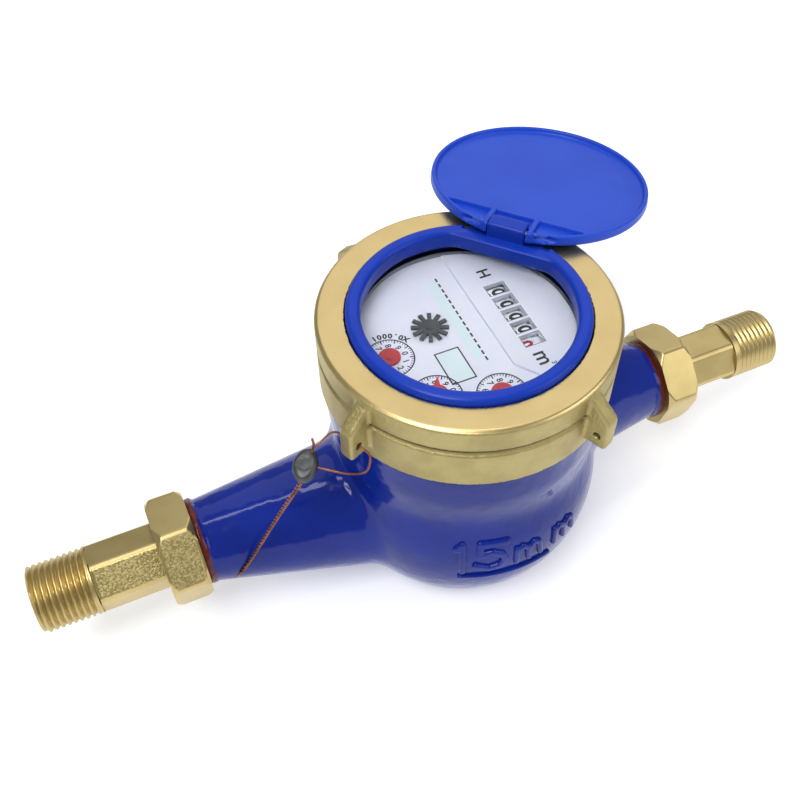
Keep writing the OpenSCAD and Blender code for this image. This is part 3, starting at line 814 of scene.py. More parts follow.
GREEN_INK = Moulded("pale_green_ink", (0.78, 0.89, 0.92), (0.75, 0.87, 0.90), 0.46, 2400.0, 0.000004)
# Grey for the painted shade along the drum windows' edges.
WINDOW_SHADE_INK = Moulded("painted_window_shade", (0.22, 0.235, 0.25), (0.19, 0.205, 0.22), 0.5, 2400.0, 0.000004)
STEEL = PlainMetal("drawn_steel", (0.56, 0.56, 0.57), (0.44, 0.44, 0.46), 0.32, 1500.0, 0.00001)
COPPER = PlainMetal("bare_copper", (0.36, 0.145, 0.085), (0.19, 0.075, 0.05), 0.42, 2600.0, 0.00002)
LEAD = PlainMetal("pressed_lead", (0.115, 0.122, 0.124), (0.075, 0.080, 0.082), 0.52, 900.0, 0.00012)


# Sub-assemblies


@dataclass
class Casting:
    """One-piece cast body: bowl, band, neck, two blended arms and two threaded spigots.

    Attributes:
        bowl: Radius and height of the bowl's profile arc centre, and its radius.
        valley: Radius and height of the soft valley between bowl and band.
        band_r: Radius of the band under the ring.
        neck_r: Radius of the neck in the ring.
        blend: Size of the fillet between an arm and the bowl.
        relief: Height of the raised size mark.
        step: Size of a mesh cell.
    """

    bowl: tuple[float, float, float] = (-4.0, 30.0, 48.0)
    valley: tuple[float, float] = (40.7, 50.6)
    band_r: float = 42.0
    neck_r: float = 39.1
    blend: float = 3.2
    relief: float = 1.0
    step: float = 1.0

    def strokes(self) -> list[tuple[float, list[tuple[float, float]]]]:
        """Raised size mark: half width, then angle and height of each stroke's points.

        Returns:
            The strokes.
        """
        m = [(0.0, 30.2), (0.0, 36.9), (0.6, 35.6), (2.6, 37.2), (4.8, 36.0), (5.4, 30.2)]
        m_end = [(5.4, 35.4), (7.6, 37.2), (9.9, 36.2), (11.0, 30.2)]
        figures = [(1.15, [(-117.6, 40.2), (-115.4, 41.9), (-114.9, 29.4)]),
                   (1.15, [(-97.0, 41.7), (-108.2, 41.9), (-108.0, 37.2), (-103.4, 38.2), (-99.2, 36.6),
                           (-97.8, 33.8), (-99.8, 31.2), (-104.4, 30.3), (-109.6, 32.2)]),
                   (0.7, [(-115.8, 26.0), (-77.0, 25.8)])]
        for start in (-92.8, -74.6):
            figures += [(0.95, [(start + a, h) for a, h in part]) for part in (m, m_end)]
        return figures

    def mark(self, x: Array, y: Array, z: Array) -> Array:
        """Distance field of the raised size mark, which sits on the bowl.

        Args:
            x, y, z: Coordinates in millimetres.
        Returns:
            Signed distance, negative inside.
        """
        angle = np.degrees(np.arctan2(y, x))
        away = np.full_like(angle, 1e3)
        mm_per_degree = math.radians(1.0) * 43.6
        for half, line in self.strokes():
            for (a0, h0), (a1, h1) in zip(line, line[1:]):
                du, dv = (a1 - a0) * mm_per_degree, h1 - h0
                u, v = (angle - a0) * mm_per_degree, z - h0
                t = np.clip((u * du + v * dv) / (du * du + dv * dv), 0, 1)
                away = np.minimum(away, np.hypot(u - t * du, v - t * dv) - half)
        layer = np.abs(self.outer(x, y, z) - self.relief / 2 + 0.4) - self.relief / 2 - 0.4
        return smax(away, layer, 0.8)

    def spigot(self, x: Array, y: Array, z: Array, side: Side) -> Array:
        """Spigot with its sealing collar.

        Args:
            x, y, z: Coordinates in millimetres.
            side: Which end.
        Returns:
            Signed distance, negative inside.
        """
        way, face = side.value
        out, rho = (x - face) * way, np.hypot(y, z - PIPE_Z)
        return np.minimum(rect(out, rho, (-4.5, -2.7), (-1, 13.6), 0.5), rect(out, rho, (-2.9, 0), (-1, 13.2), 0.3))

    def profile(self) -> tuple[Array, Array]:
        """Heights and outer radii of the turned shell, from the foot to the top of the band.

        Returns:
            Heights, then radii.
        """
        z = np.arange(0.0, 80.0, 0.25)
        centre, level, radius = self.bowl
        ball = centre + np.sqrt(np.maximum(radius**2 - (z - level) ** 2, 1.0))
        low, (deep, mid), high = 38.5, self.valley, 64.0
        edge = centre + math.sqrt(radius**2 - (low - level) ** 2)
        slope = -(low - level) / (edge - centre)
        t = np.clip((z - low) / (mid - low), 0, 1)
        fall = (edge * (2 * t**3 - 3 * t**2 + 1) + slope * (mid - low) * (t**3 - 2 * t**2 + t)
                + deep * (3 * t**2 - 2 * t**3))
        t = np.clip((z - mid) / (high - mid), 0, 1)
        rise = deep + (self.band_r - deep) * (3 * t**2 - 2 * t**3)
        return z, np.where(z < low, ball, np.where(z < mid, fall, rise))

    def outer(self, x: Array, y: Array, z: Array) -> Array:
        """Outside of the casting, without its cavity.

        Args:
            x, y, z: Coordinates in millimetres.
        Returns:
            Signed distance, negative inside.
        """
        r = np.hypot(x, y)
        heights, radii = self.profile()
        wall = r - np.interp(z, heights, radii)
        wall = wall / np.hypot(1.0, np.interp(z, heights, np.gradient(radii, heights)))
        shell = smax(smax(wall, z - 74.0, 0.4), 2.0 - z, 1.5)
        shell = smin(shell, rect(r, z, (-1, 33.0), (-3, 5), 0.8), 1.2)
        arms = smin(taper(x, y, z, (-30, 25, 23.4), (-89.2, 34.0, 12.7)),
                    taper(x, y, z, (30, 40, 21.5), (70.2, 34.0, 12.8)), 0.5)
        whole = smin(shell, arms, self.blend)
        whole = np.minimum(whole, rect(r, z, (-1, self.neck_r), (46, 86), 0.3))
        ends = np.minimum(self.spigot(x, y, z, Side.INLET), self.spigot(x, y, z, Side.OUTLET))
        return smax(smin(whole, ends, 0.9), -z, 0.6)

    def cavity(self, x: Array, y: Array, z: Array) -> Array:
        """Space inside: two chambers, the partition's hole and the two ducts.

        Args:
            x, y, z: Coordinates in millimetres.
        Returns:
            Signed distance, negative inside.
        """
        r = np.hypot(x, y)
        ball = np.hypot(r - self.bowl[0], z - self.bowl[1]) - self.bowl[2] + 4.0
        space = np.minimum(np.maximum(ball, rect(r, z, (-1, 60), (6, 32))), rect(r, z, (-1, 29.25), (31, 37)))
        space = np.minimum(space, rect(r, z, (-1, 36.0), (36, 100)))
        for side, duct in ((Side.INLET, taper(x, y, z, (-74, 34, 7.5), (-33, 22, 9.5))),
                           (Side.OUTLET, taper(x, y, z, (61, 34, 7.5), (33, 46, 9.5)))):
            way, face = side.value
            depth = 22.0 if side is Side.INLET else 16.0
            pipe = rect((x - face) * way, np.hypot(y, z - PIPE_Z), (-depth, 5), (-1, 8.0))
            space = np.minimum(space, np.minimum(duct, pipe))
        return space

    def field(self, x: Array, y: Array, z: Array) -> Array:
        """Distance field of the whole casting."""
        return np.maximum(self.outer(x, y, z), -self.cavity(x, y, z))

    def build(self) -> None:
        """Makes the casting and its raised mark."""
        enamel = CastEnamel().material()
        shape = skin(self.field, (-92, -45.2, 0), (73, 45.2, 86), self.step)
        add_piece("cast_body", shape, enamel, "meter", ["body_casting"], 55)
        shape = skin(self.mark, (-24, -47, 22), (24, -36, 46), 0.36)
        add_piece("size_mark", shape, enamel, "meter", (), 55)


@dataclass
class CoverRing:
    """Brass ring with four cast sealing lugs.

    Attributes:
        outer_r: Outer radius.
        bottom: Height of its lower edge.
        groove_z: Height of the soft groove round its side.
        lug_angle: Direction of the first lug in degrees.
        lug_half: Half the thickness of a lug.
        hole: Distance and height of the wire hole, and its radius.
        step: Size of a mesh cell.
    """

    outer_r: float = 43.4
    bottom: float = 74.5
    groove_z: float = GROOVE_Z
    lug_angle: float = LUG_ANGLE
    lug_half: float = 2.2
    hole: tuple[float, float, float] = WIRE_HOLE
    step: float = 0.56

    def lug(self, x: Array, y: Array, z: Array, angle: float) -> Array:
        """Distance to one lug without its hole.

        Args:
            x, y, z: Coordinates in millimetres.
            angle: Direction of the lug in radians.
        Returns:
            Signed distance, negative inside.
        """
        u = x * math.cos(angle) + y * math.sin(angle)
        v = y * math.cos(angle) - x * math.sin(angle)
        slope = smax((z - RING_TOP + 2.6) * 0.767 + (u - 44.4) * 0.642, z - RING_TOP + 2.0, 1.0)
        profile = smax(smax(slope, u - 50.5, 1.2), 78.9 - z, 1.0)
        profile = smax(profile, 40.6 - u, 0.2)
        return smax(profile, np.abs(v) - self.lug_half, 0.9)

    def field(self, x: Array, y: Array, z: Array) -> Array:
        """Distance field of the ring.

        Args:
            x, y, z: Coordinates in millimetres.
        Returns:
            Signed distance, negative inside.
        """
        r = np.hypot(x, y)
        ring = rect(r, z, (30, self.outer_r), (self.bottom, RING_TOP), 0.35)
        ring = smax(ring, (r - self.outer_r + z - RING_TOP + 0.9) * 0.707, 0.2)
        ring = smax(ring, 1.35 - np.hypot(r - self.outer_r - 0.3, z - self.groove_z), 0.15)
        hole_u, hole_z, hole_r = self.hole
        holes = np.full_like(r, 1e3)
        for k in range(4):
            angle = math.radians(self.lug_angle + 90 * k)
            ring = smin(ring, self.lug(x, y, z, angle), 1.2)
            u = x * math.cos(angle) + y * math.sin(angle)
            holes = np.minimum(holes, np.hypot(u - hole_u, z - hole_z) - hole_r + 1e3 * (u < 0))
        inside = np.minimum(np.maximum(r - 39.15, z - 91.05), r - 35.05)
        ring = smax(smax(ring, -inside, 0.25), z - RING_TOP, 0.2)
        return smax(ring, -holes, 0.3)

    def build(self) -> None:
        """Makes the ring's piece."""
        shape = skin(self.field, (-51, -51, self.bottom), (51, 51, RING_TOP), self.step)
        add_piece("brass_ring", shape, RingBrass().material(), "meter", ["cover_ring"], 55)


def hinge_local(x: Array, y: Array) -> tuple[Array, Array]:
    """Coordinates from the centre to the hinge, and along its pin."""
    c, s = math.cos(HINGE_ANGLE), math.sin(HINGE_ANGLE)
    return x * c + y * s, y * c - x * s


@dataclass
class DialCover:
    """Blue bezel with its hinge deck, the lid on its hinge, and the glass.

    Attributes:
        bezel_r: Outer radius of the bezel.
        rim_r: Inner radius of its rim.
        lid_r: Radius of the lid.
        lid_top: Height of the closed lid's upper face.
        deck: Distance of the hinge deck's straight wall from the centre.
        chord: Distance of the lid's straight rib from its centre.
        step: Size of a mesh cell.
    """

    bezel_r: float = 34.7
    rim_r: float = 30.4
    lid_r: float = 34.4
    lid_top: float = 103.3
    deck: float = 26.1
    chord: float = 24.0
    step: float = 0.5

    def bezel(self, x: Array, y: Array, z: Array) -> Array:
        """Distance field of the bezel.

        Args:
            x, y, z: Coordinates in millimetres.
        Returns:
            Signed distance, negative inside.
        """
        r = np.hypot(x, y)
        u, v = hinge_local(x, y)
        mid = (self.rim_r + self.bezel_r) / 2
        ring = np.minimum(rect(r, z, (33.6, 38.6), (88, 91), 0.2), rect(r, z, (33.6, self.bezel_r), (88, 95)))
        rim = np.maximum(rect(r, z, (self.rim_r, self.bezel_r), (88, 99.55), 1.6), 93.9 - z)
        deck = smax(np.maximum(r - mid, self.deck - u), rect(z, z, (94.2, 99.1), (0, 200)), 0.5)
        body = np.minimum(ring, smin(rim, deck, 0.5))
        gap = smax(rect(np.abs(v), z, (5.5, 13.5), (97.8, 110)), HINGE_OUT - 2.4 - u, 0.3)
        body = smax(body, -gap, 0.3)
        knuckle = smin(rect(u, z, (HINGE_OUT - 2.4, HINGE_OUT + 2.0), (97.9, HINGE_Z), 0.3),
                       rect(u - HINGE_OUT, z - HINGE_Z, (-2.6, 2.6), (-2.6, 2.6), 1.0), 0.4)
        body = smin(body, smax(knuckle, np.abs(v) - 5.7, 0.4), 0.4)
        return np.maximum(body, 1.0 - np.hypot(u - HINGE_OUT, z - HINGE_Z))

    def lid(self, u: Array, v: Array, z: Array) -> Array:
        """Distance field of the closed lid, in hinge coordinates.

        Args:
            u, v, z: Distance towards the hinge, along its pin, and height.
        Returns:
            Signed distance, negative inside.
        """
        r = np.hypot(u, v)
        disc = rect(r, z, (-5, self.lid_r), (self.lid_top - 1.6, self.lid_top), 0.75)
        lip = rect(r, z, (self.lid_r - 1.4, self.lid_r), (100.2, self.lid_top - 0.3), 0.6)
        plate = smin(disc, lip, 0.9)
        rise = 0.13 * np.clip((27.1 - r) / 0.7, 0, 1)
        plate = np.maximum(plate, np.where(r < 28, self.lid_top - 1.6 + rise - z, -9.0))
        inside = np.maximum(r - self.lid_r + 1.0, 100.2 - z)
        chord = rect(u, z, (self.chord - 0.2, self.chord + 1.0), (100.2, 102.4), 0.3)
        side = np.maximum(rect(np.abs(v), z, (6.0, 7.2), (100.2, 102.4), 0.3), self.chord - u)
        body = smin(plate, smax(smin(chord, side, 0.5), inside, 0.3), 0.5)
        eye = rect(u, z, (HINGE_OUT - 7.5, HINGE_OUT + 9.0), (99.85, self.lid_top - 0.2), 0.4)
        eye = smax(eye, r - self.lid_r + 0.05, 0.6)
        body = smin(body, smax(eye, np.abs(np.abs(v) - 6.85) - 0.85, 0.4), 0.6)
        notch = smax(np.abs(v) - 6.0, HINGE_OUT - 3.4 - u, 0.3)
        body = smax(body, -notch, 0.3)
        return np.maximum(body, 1.06 - np.hypot(u - HINGE_OUT, z - HINGE_Z))

    def build(self) -> None:
        """Makes the bezel and the open lid, and dresses the pin and glass."""
        shape = skin(self.bezel, (-39, -39, 88), (39, 39, 104), self.step)
        add_piece("blue_bezel", shape, BEZEL_BLUE.material(), "meter", ["dial_bezel"], 55)
        points, faces = skin(self.lid, (-35, -35, 98), (38, 35, 104), self.step)
        u, z = points[:, 0] - HINGE_OUT, points[:, 2] - HINGE_Z
        c, s = math.cos(LID_OPEN), math.sin(LID_OPEN)
        out, up = HINGE_OUT + u * c + z * s, HINGE_Z - u * s + z * c
        ch, sh = math.cos(HINGE_ANGLE), math.sin(HINGE_ANGLE)
        world = np.column_stack([out * ch - points[:, 1] * sh, out * sh + points[:, 1] * ch, up])
        add_piece("blue_lid", (world, faces), LID_BLUE.material(), "lid", ["lid"], 55)
        dress("hinge_pin", STEEL.material())
        dress("dial_glass", ClearGlass().material())


@dataclass
class Coupling:
    """Union nut, threaded tailpiece and washer at one end of the pipe line.

    Attributes:
        side: Which end.
        nut_turn: Turn of the nut's corners in degrees.
        tail_turn: Turn of the tailpiece's corners in degrees.
        rough_nut: The nut's as-cast flats, counted from its first corner.
        rough_tail: The tailpiece's as-cast flats.
        thread_from: Where the thread begins, from the end face.
        depth: Depth of the thread.
        nut_half: Half the nut's width across flats.
        tail_half: Half the tailpiece's width across flats.
        bore: Radius of the waterway.
        crest: Radius over the thread.
        pitch: Pitch of the thread.
        collar_r: Radius of the collar that the nut holds.
        neck_r: Radius of the short neck behind the collar.
        hex_end: Where the hexagon ends, from the end face.
        length: Where the tailpiece ends.
        nut_bore: Radii of the nut's hole and of its thread.
    """

    side: Side
    nut_turn: float
    tail_turn: float
    rough_nut: tuple[int, ...]
    rough_tail: tuple[int, ...]
    thread_from: float
    depth: float
    nut_half: float = 15.2
    tail_half: float = 9.3
    bore: float = 7.5
    crest: float = 10.45
    pitch: float = 1.814
    collar_r: float = 12.6
    neck_r: float = 8.9
    hex_end: float = 29.2
    length: float = 46.8
    nut_bore: tuple[float, float] = (10.95, 13.25)

    def to_world(self, out: Array, a: Array, b: Array) -> Array:
        """Points from the end face outwards, with two cross coordinates, in the shared frame."""
        way, face = self.side.value
        return np.column_stack([face + way * out, b, PIPE_Z - way * a])

    @staticmethod
    def hexagon(theta: Array, half: float, turn: float, soft: float = 1.8) -> tuple[Array, Array]:
        """Radius of a hexagon with corners eased over soft degrees, and the number of the flat.

        Args:
            theta: Angle in radians.
            half: Half the width across flats.
            turn: Turn in degrees.
            soft: Easing of a corner in degrees.
        Returns:
            Radius, and number of the flat.
        """
        part = (np.degrees(theta) - turn) % 360
        radius = half / np.cos(np.radians(part % 60 - 30))
        return np.minimum(radius, half / math.cos(math.radians(30 - soft))), (part // 60).astype(int)

    def turned(self, stations: Array, radius: Callable[[Array, Array], Array], bores: Sequence[tuple[float, float]],
               sides: int) -> tuple[Array, list[list[int]], Array, Array]:
        """Hollow turned piece.

        Args:
            stations: Distances from the end face, rising.
            radius: Outer radius at a distance and an angle.
            bores: Distance and radius along the bore, from the last station back to the first.
            sides: Number of sides.
        Returns:
            Points, faces, and each point's distance and angle.
        """
        theta = np.arange(sides) * 2 * math.pi / sides
        outs = np.concatenate([stations, [s for s, _ in bores]])
        s, t = np.meshgrid(outs, theta, indexing="ij")
        r = np.empty_like(s)
        r[:len(stations)] = radius(s[:len(stations)], t[:len(stations)])
        r[len(stations):] = np.array([b for _, b in bores])[:, None]
        count = len(outs)
        faces = [[i * sides + k, ((i + 1) % count) * sides + k, ((i + 1) % count) * sides + (k + 1) % sides,
                  i * sides + (k + 1) % sides] for i in range(count) for k in range(sides)]
        if self.side is Side.INLET:
            faces = [f[::-1] for f in faces]
        world = self.to_world(s.ravel(), (r * np.cos(t)).ravel(), (r * np.sin(t)).ravel())
        return world, faces, s.ravel(), t.ravel()

    def nut_radius(self, s: Array, theta: Array) -> Array:
        """Outer radius of the union nut.

        Args:
            s: Distance from the end face.
            theta: Angle in radians.
        Returns:
            The radius.
        """
        flat, _ = self.hexagon(theta, self.nut_half, self.nut_turn)
        corner = self.nut_half / math.cos(math.radians(30))
        ease = np.minimum(s + 2.5, 9.0 - s)
        return np.minimum(flat, corner - 1.75 + 0.8 * ease)

    def tail_radius(self, s: Array, theta: Array) -> Array:
        """Outer radius of the tailpiece: collar, neck, hexagon, thread.

        Args:
            s: Distance from the end face.
            theta: Angle in radians.
        Returns:
            The radius.
        """
        flat, _ = self.hexagon(theta, self.tail_half, self.tail_turn, 4.0)
        flat = np.minimum(flat, self.tail_half + 2.0 * np.clip(s - 7.0, 0, 3))
        flat = np.minimum(flat, 9.64 + 2.08 * np.clip(self.hex_end - s, 0, 3))
        crest = np.minimum(self.crest - 0.1 * np.clip((s - 29.0) / 16.2, 0, 1), self.crest - 0.9 + (self.length - s))
        phase = (s / self.pitch - np.sign(self.side.value[0]) * theta / (2 * math.pi)) % 1.0
        tooth = np.clip(1.18 - np.abs(phase - 0.5) * 2.36, 0.04, 0.98)
        fade = np.clip((s - self.thread_from) / 1.0, 0, 1)
        thread = crest - self.depth * fade * (1 - tooth)
        turned = np.where(s < self.hex_end, flat, thread)
        return np.where(s < 6.0, self.collar_r, np.where(s < 7.0, self.neck_r, turned))

    def build(self, brass: bpy.types.Material) -> None:
        """Makes the nut and the tailpiece.

        Args:
            brass: Their finish.
        """
        name = self.side.name.lower()
        hole, inner = self.nut_bore
        stations = np.concatenate([[-2.5, -2.49], np.linspace(-2.3, 0.9, 14), np.linspace(1.2, 5.3, 12),
                                   np.linspace(5.6, 8.8, 14), [8.99, 9.0]])
        points, faces, s, t = self.turned(stations, self.nut_radius,
                                          [(9.0, hole), (6.0, hole), (5.99, inner), (-2.5, inner)], 240)
        nut = add_piece(f"{name}_union_nut", (points, faces), brass, "meter", [f"{name}_nut"], 28)
        _, flat = self.hexagon(t, self.nut_half, self.nut_turn)
        mark_points(nut, "cast", self.rough(s, t, flat, self.rough_nut, self.nut_turn, -1.6, 8.1))
        mark_points(nut, "thread", np.zeros(len(points)))
        stations = np.concatenate([[2.5, 2.51, 5.99, 6.0, 6.01, 6.99], np.linspace(7.0, 8.5, 8),
                                   np.linspace(9.0, 28.3, 40), np.linspace(28.4, 29.1, 8), [self.hex_end - 0.01],
                                   np.arange(self.hex_end, self.length - 0.1, 0.13), [self.length]])
        bores = [(self.length, self.bore + 0.5), (self.length - 0.5, self.bore), (24.0, self.bore), (2.5, self.bore)]
        points, faces, s, t = self.turned(stations, self.tail_radius, bores, 180)
        tail = add_piece(f"{name}_tail", (points, faces), brass, "meter", [f"{name}_tailpiece"], 32)
        _, flat = self.hexagon(t, self.tail_half, self.tail_turn)
        mark_points(tail, "cast", self.rough(s, t, flat, self.rough_tail, self.tail_turn, 8.6, 28.4))
        mark_points(tail, "thread", (s > self.hex_end).astype(float))
        dress(f"{name}_washer", RUBBER.material())

    @staticmethod
    def rough(s: Array, theta: Array, flat: Array, chosen: tuple[int, ...], turn: float, low: float,
              high: float) -> Array:
        """How far each point lies on an as-cast flat, from 0 to 1.

        Args:
            s: Distance from the end face.
            theta: Angle in radians.
            flat: Number of the flat.
            chosen: The as-cast flats.
            turn: Turn of the corners in degrees.
            low: Where they begin.
            high: Where they end.
        Returns:
            One number for each point.
        """
        off = np.abs((np.degrees(theta) - turn) % 60 - 30)
        on = np.isin(flat, chosen) & (s > low) & (s < high)
        return on * np.clip((28.0 - off) / 3.0, 0, 1)


@dataclass
class Register:
    """Dial, its print, the leak star, pointers, drums and gears.

    Attributes:
        star_at: Place of the leak star.
        hands_at: Places of the three pointers.
        drum_at: X and Z of the drum axle.
        drum_r: Radius of a drum.
        first_drum: Y of the first drum's window.
        pitch: Distance between drums.
        ray: Inner and outer radius of the star's rays.
        ray_half: Half the width of a ray at these radii.
        hub_r: Radius of the star's and the pointers' hubs.
    """

    star_at: tuple[float, float] = (-9.5, 5.1)
    hands_at: tuple[tuple[float, float], ...] = ((-24.5, -0.5), (-18.0, -18.0), (-1.5, -24.6))
    drum_at: tuple[float, float] = (15.0, 79.3)
    drum_r: float = 8.0
    first_drum: float = -11.0
    pitch: float = 5.5
    ray: tuple[float, float] = (3.0, 5.5)
    ray_half: tuple[float, float] = (0.56, 0.62)
    hub_r: float = 1.2

    @staticmethod
    def laid(shape: Shape, at: tuple[float, float], z: float, turn: float = 0.0) -> Shape:
        """Lays a flat shape on the dial, whose upright direction is +X.

        Args:
            shape: Shape around the origin, reading along X.
            at: Its place on the dial.
            z: Height of the surface.
            turn: Further turn in degrees.
        Returns:
            The placed shape.
        """
        points, faces = shape
        a = math.radians(turn - 90.0)
        x = points[:, 0] * math.cos(a) - points[:, 1] * math.sin(a) + at[0]
        y = points[:, 0] * math.sin(a) + points[:, 1] * math.cos(a) + at[1]
        return np.column_stack([x, y, points[:, 2] + z]), faces

    @staticmethod
    def band(radius: float, width: float, arc: tuple[float, float] = (0.0, 360.0), depth: float = 0.012) -> Shape:
        """Thin printed circle or arc around the origin.

        Args:
            radius: Mean radius.
            width: Width of the line.
            arc: First and last angle in degrees.
            depth: Half the thickness.
        Returns:
            Points and faces.
        """
        closed = arc[1] - arc[0] >= 360
        count = 72 if closed else 24
        angles = np.radians(np.linspace(arc[0], arc[1], count, endpoint=not closed))
        rings = [((radius + w) * np.cos(angles), (radius + w) * np.sin(angles), np.full(count, h))
                 for w, h in ((-width / 2, -depth), (width / 2, -depth), (width / 2, depth), (-width / 2, depth))]
        points = np.concatenate([np.column_stack(r) for r in rings])
        ends = count if closed else count - 1
        faces = [[k * count + i, ((k + 1) % 4) * count + i, ((k + 1) % 4) * count + (i + 1) % count,
                  k * count + (i + 1) % count][::-1] for k in range(4) for i in range(ends)]
        if not closed:
            faces += [[k * count for k in range(4)], [k * count + count - 1 for k in (3, 2, 1, 0)]]
        return points, faces

    @staticmethod
    def bar(length: float, width: float, depth: float = 0.012) -> Shape:
        """Thin printed bar around the origin, along X.

        Args:
            length: Size along X.
            width: Size along Y.
            depth: Half the thickness.
        Returns:
            Points and faces.
        """
        sign = np.array(list(product((-1, 1), repeat=3)), float)
        points = sign * np.array([length / 2, width / 2, depth])
        return points, [[0, 1, 3, 2], [4, 6, 7, 5], [0, 4, 5, 1], [2, 3, 7, 6], [0, 2, 6, 4], [1, 5, 7, 3]]

    @staticmethod
    def slab(outline: Sequence[tuple[float, float]], at: tuple[float, float], low: float, high: float) -> Shape:
        """Flat piece between two heights, with an outline that runs anticlockwise.

        Args:
            outline: Points round the origin.
            at: Its place on the dial.
            low: Lower height.
            high: Upper height.
        Returns:
            Points and faces.
        """
        n = len(outline)
        points = np.array([(at[0] + a, at[1] + b, z) for z in (low, high) for a, b in outline])
        sides = [[i, (i + 1) % n, n + (i + 1) % n, n + i] for i in range(n)]
        return points, sides + [list(range(n))[::-1], list(range(n, 2 * n))]

    def sub_dial(self, at: tuple[float, float], ticks: Grown, ink: bpy.types.Material, words: str) -> list[Shape]:
        """Circle, ticks, figures and factor of one pointer's scale.

        Args:
            at: Place of the pointer.
            ticks: Tree of the tick marks.
            ink: Finish of the print.
            words: The factor.
        Returns:
            The printed shapes.
        """
        z = DIAL_TOP + 0.015
        out = [self.laid(self.band(7.0, 0.38), at, z)]
        for count, radius, bar in ((10, 6.35, (1.3, 0.36, 0.024)), (50, 6.58, (0.8, 0.2, 0.024))):
            out.append(self.laid(ticks.shape(Count=count, Radius=radius, Bar=bar, Material=ink), at, z))
        for n in range(10):
            a = math.radians(36 * n)
            spot = (at[0] + 4.7 * math.cos(a), at[1] - 4.7 * math.sin(a))
            out.append(self.laid(lettering(str(n), 1.85, 0.02), spot, z))
        for k, sign in enumerate(words):
            a = 66.0 + 10.6 * (k - (len(words) - 1) / 2)
            reach = 9.2 if sign == "." else 8.5
            spot = (at[0] + reach * math.cos(math.radians(a)), at[1] + reach * math.sin(math.radians(a)))
            out.append(self.laid(lettering(sign, 0.55 if sign == "." else 2.0, 0.045), spot, z, a + 180))
        return out

    def dial_print(self) -> None:
        """Prints the dial, and lays grey bars of painted shade round the drum windows."""
        black, z = BLACK_INK.material(), DIAL_TOP + 0.015
        ticks, dashes = tick_ring(), dash_row()
        shapes: list[Shape] = []
        for at, words in zip(self.hands_at, ("X0.0001", "", "")):
            shapes += self.sub_dial(at, ticks, black, words)
        row = dashes.shape(Count=15, Start=(0.6, 22.4, 0), Pitch=(-0.02, -2.42, 0), Bar=(0.55, 1.55, 0.024),
                           Material=black)
        shapes.append((row[0] + np.array([0, 0, z]), row[1]))
        high = PLATEAU + 0.015
        shapes += [self.laid(lettering("H", 3.7, 0.02), (14.4, 18.4), high),
                   self.laid(lettering("m", 3.3, 0.015), (13.9, -18.4), high),
                   self.laid(lettering("3", 1.5, 0.02), (16.4, -21.2), high)]
        mid = (-8.9, -10.4)
        for side in (-1, 1):
            shapes += [self.laid(self.bar(12.3, 0.42), (mid[0] + 3.6 * side, mid[1]), z),
                       self.laid(self.bar(7.6, 0.42), (mid[0], mid[1] + 5.95 * side), z, 90)]
        add_piece("dial_print_black", joined(shapes), black, "meter")
        green = GREEN_INK.material()
        pale = [self.laid(self.bar(33.0, 3.2, 0.008), (-1.4, 5.4), DIAL_TOP + 0.01),
                self.laid(self.bar(11.4, 6.7, 0.008), mid, DIAL_TOP + 0.01)]
        add_piece("dial_print_green", joined(pale), green, "meter")
        # Painted shade: grey bars along the edges of the five drum windows.
        window_shade_bars = []
        for i in range(5):
            at = (self.drum_at[0], self.first_drum + self.pitch * i)
            for side in (-1, 1):
                window_shade_bars += [self.laid(self.bar(4.6, 0.2), (at[0] + side * 3.2, at[1]), high),
                           self.laid(self.bar(6.2, 0.2), (at[0], at[1] + side * 2.2), high, 90)]
        add_piece("dial_window_shade", joined(window_shade_bars), WINDOW_SHADE_INK.material(), "meter")

    def figures(self, index: int) -> Shape:
        """Ten figures round one drum. The litre drum stands between two of them.

        Args:
            index: Number of the drum, from 0.
        Returns:
            Points and faces.
        """
        x0, z0 = self.drum_at
        y0 = self.first_drum + self.pitch * index
        ahead = -14.0 if index == 0 else 6.0
        out = []
        for n in range(10):
            points, faces = lettering(str(n), 4.6, 0.04)
            angle = math.radians(36 * n + ahead) + points[:, 1] / self.drum_r
            r = self.drum_r + 0.012 + points[:, 2]
            x, z = x0 + r * np.sin(angle), z0 + r * np.cos(angle)
            out.append((np.column_stack([x, y0 - points[:, 0] * 0.95, z]), faces))
        return joined(out)

    def build(self) -> None:
        """Prints the dial and the drums, and dresses the register's solids."""
        white, gear, red, star = DIAL.material(), GEAR.material(), RED.material(), STAR.material()
        for node in ("dial_plate", "register_cup"):
            dress(node, white)
        self.dial_print()
        drum, black, red_ink = DRUM.material(), BLACK_INK.material(), RED_INK.material()
        for i in range(5):
            dress(f"drum_{i + 1}", drum)
            add_piece(f"drum_figures_{i + 1}", self.figures(i), red_ink if i == 0 else black, f"drum_{i + 1}")
        (inner, outer), (root, tip) = self.ray, self.ray_half
        corners = ((inner, -root), (outer, -tip), (outer, tip), (inner, root))
        rays = [(math.radians(30 * i + 8), r, w) for i in range(12) for r, w in corners]
        outline = [(r * math.cos(a) - w * math.sin(a), r * math.sin(a) + w * math.cos(a)) for a, r, w in rays]
        low, high = (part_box("leak_star")[k][2] / MM for k in (0, 1))
        add_piece("star_disc", self.slab(outline, self.star_at, low, high), star, "star", ["leak_star"], 30)
        hub = [(self.hub_r * math.cos(a), self.hub_r * math.sin(a)) for a in np.arange(24) * math.pi / 12]
        cap = DIAL_TOP + 0.95, DIAL_TOP + 1.2
        add_piece("star_hub", self.slab(hub, self.star_at, *cap), star, "star", (), 30)
        for i, at in enumerate(self.hands_at, 1):
            add_piece(f"pointer_hub_{i}", self.slab(hub, at, *cap), red, f"pointer_{i}", (), 30)
        for i in range(1, 4):
            dress(f"hand_{i}", red)
            dress(f"idler_{i}", gear)
            dress(f"hand_arbor_{i}", gear)
        for i in range(1, 5):
            dress(f"carry_pinion_{i}", gear)
        for node in ("star_arbor", "worm_arbor"):
            dress(node, gear)
        steel = STEEL.material()
        for node in ("drum_axle", "carry_axle", "impeller_pivot"):
            dress(node, steel)
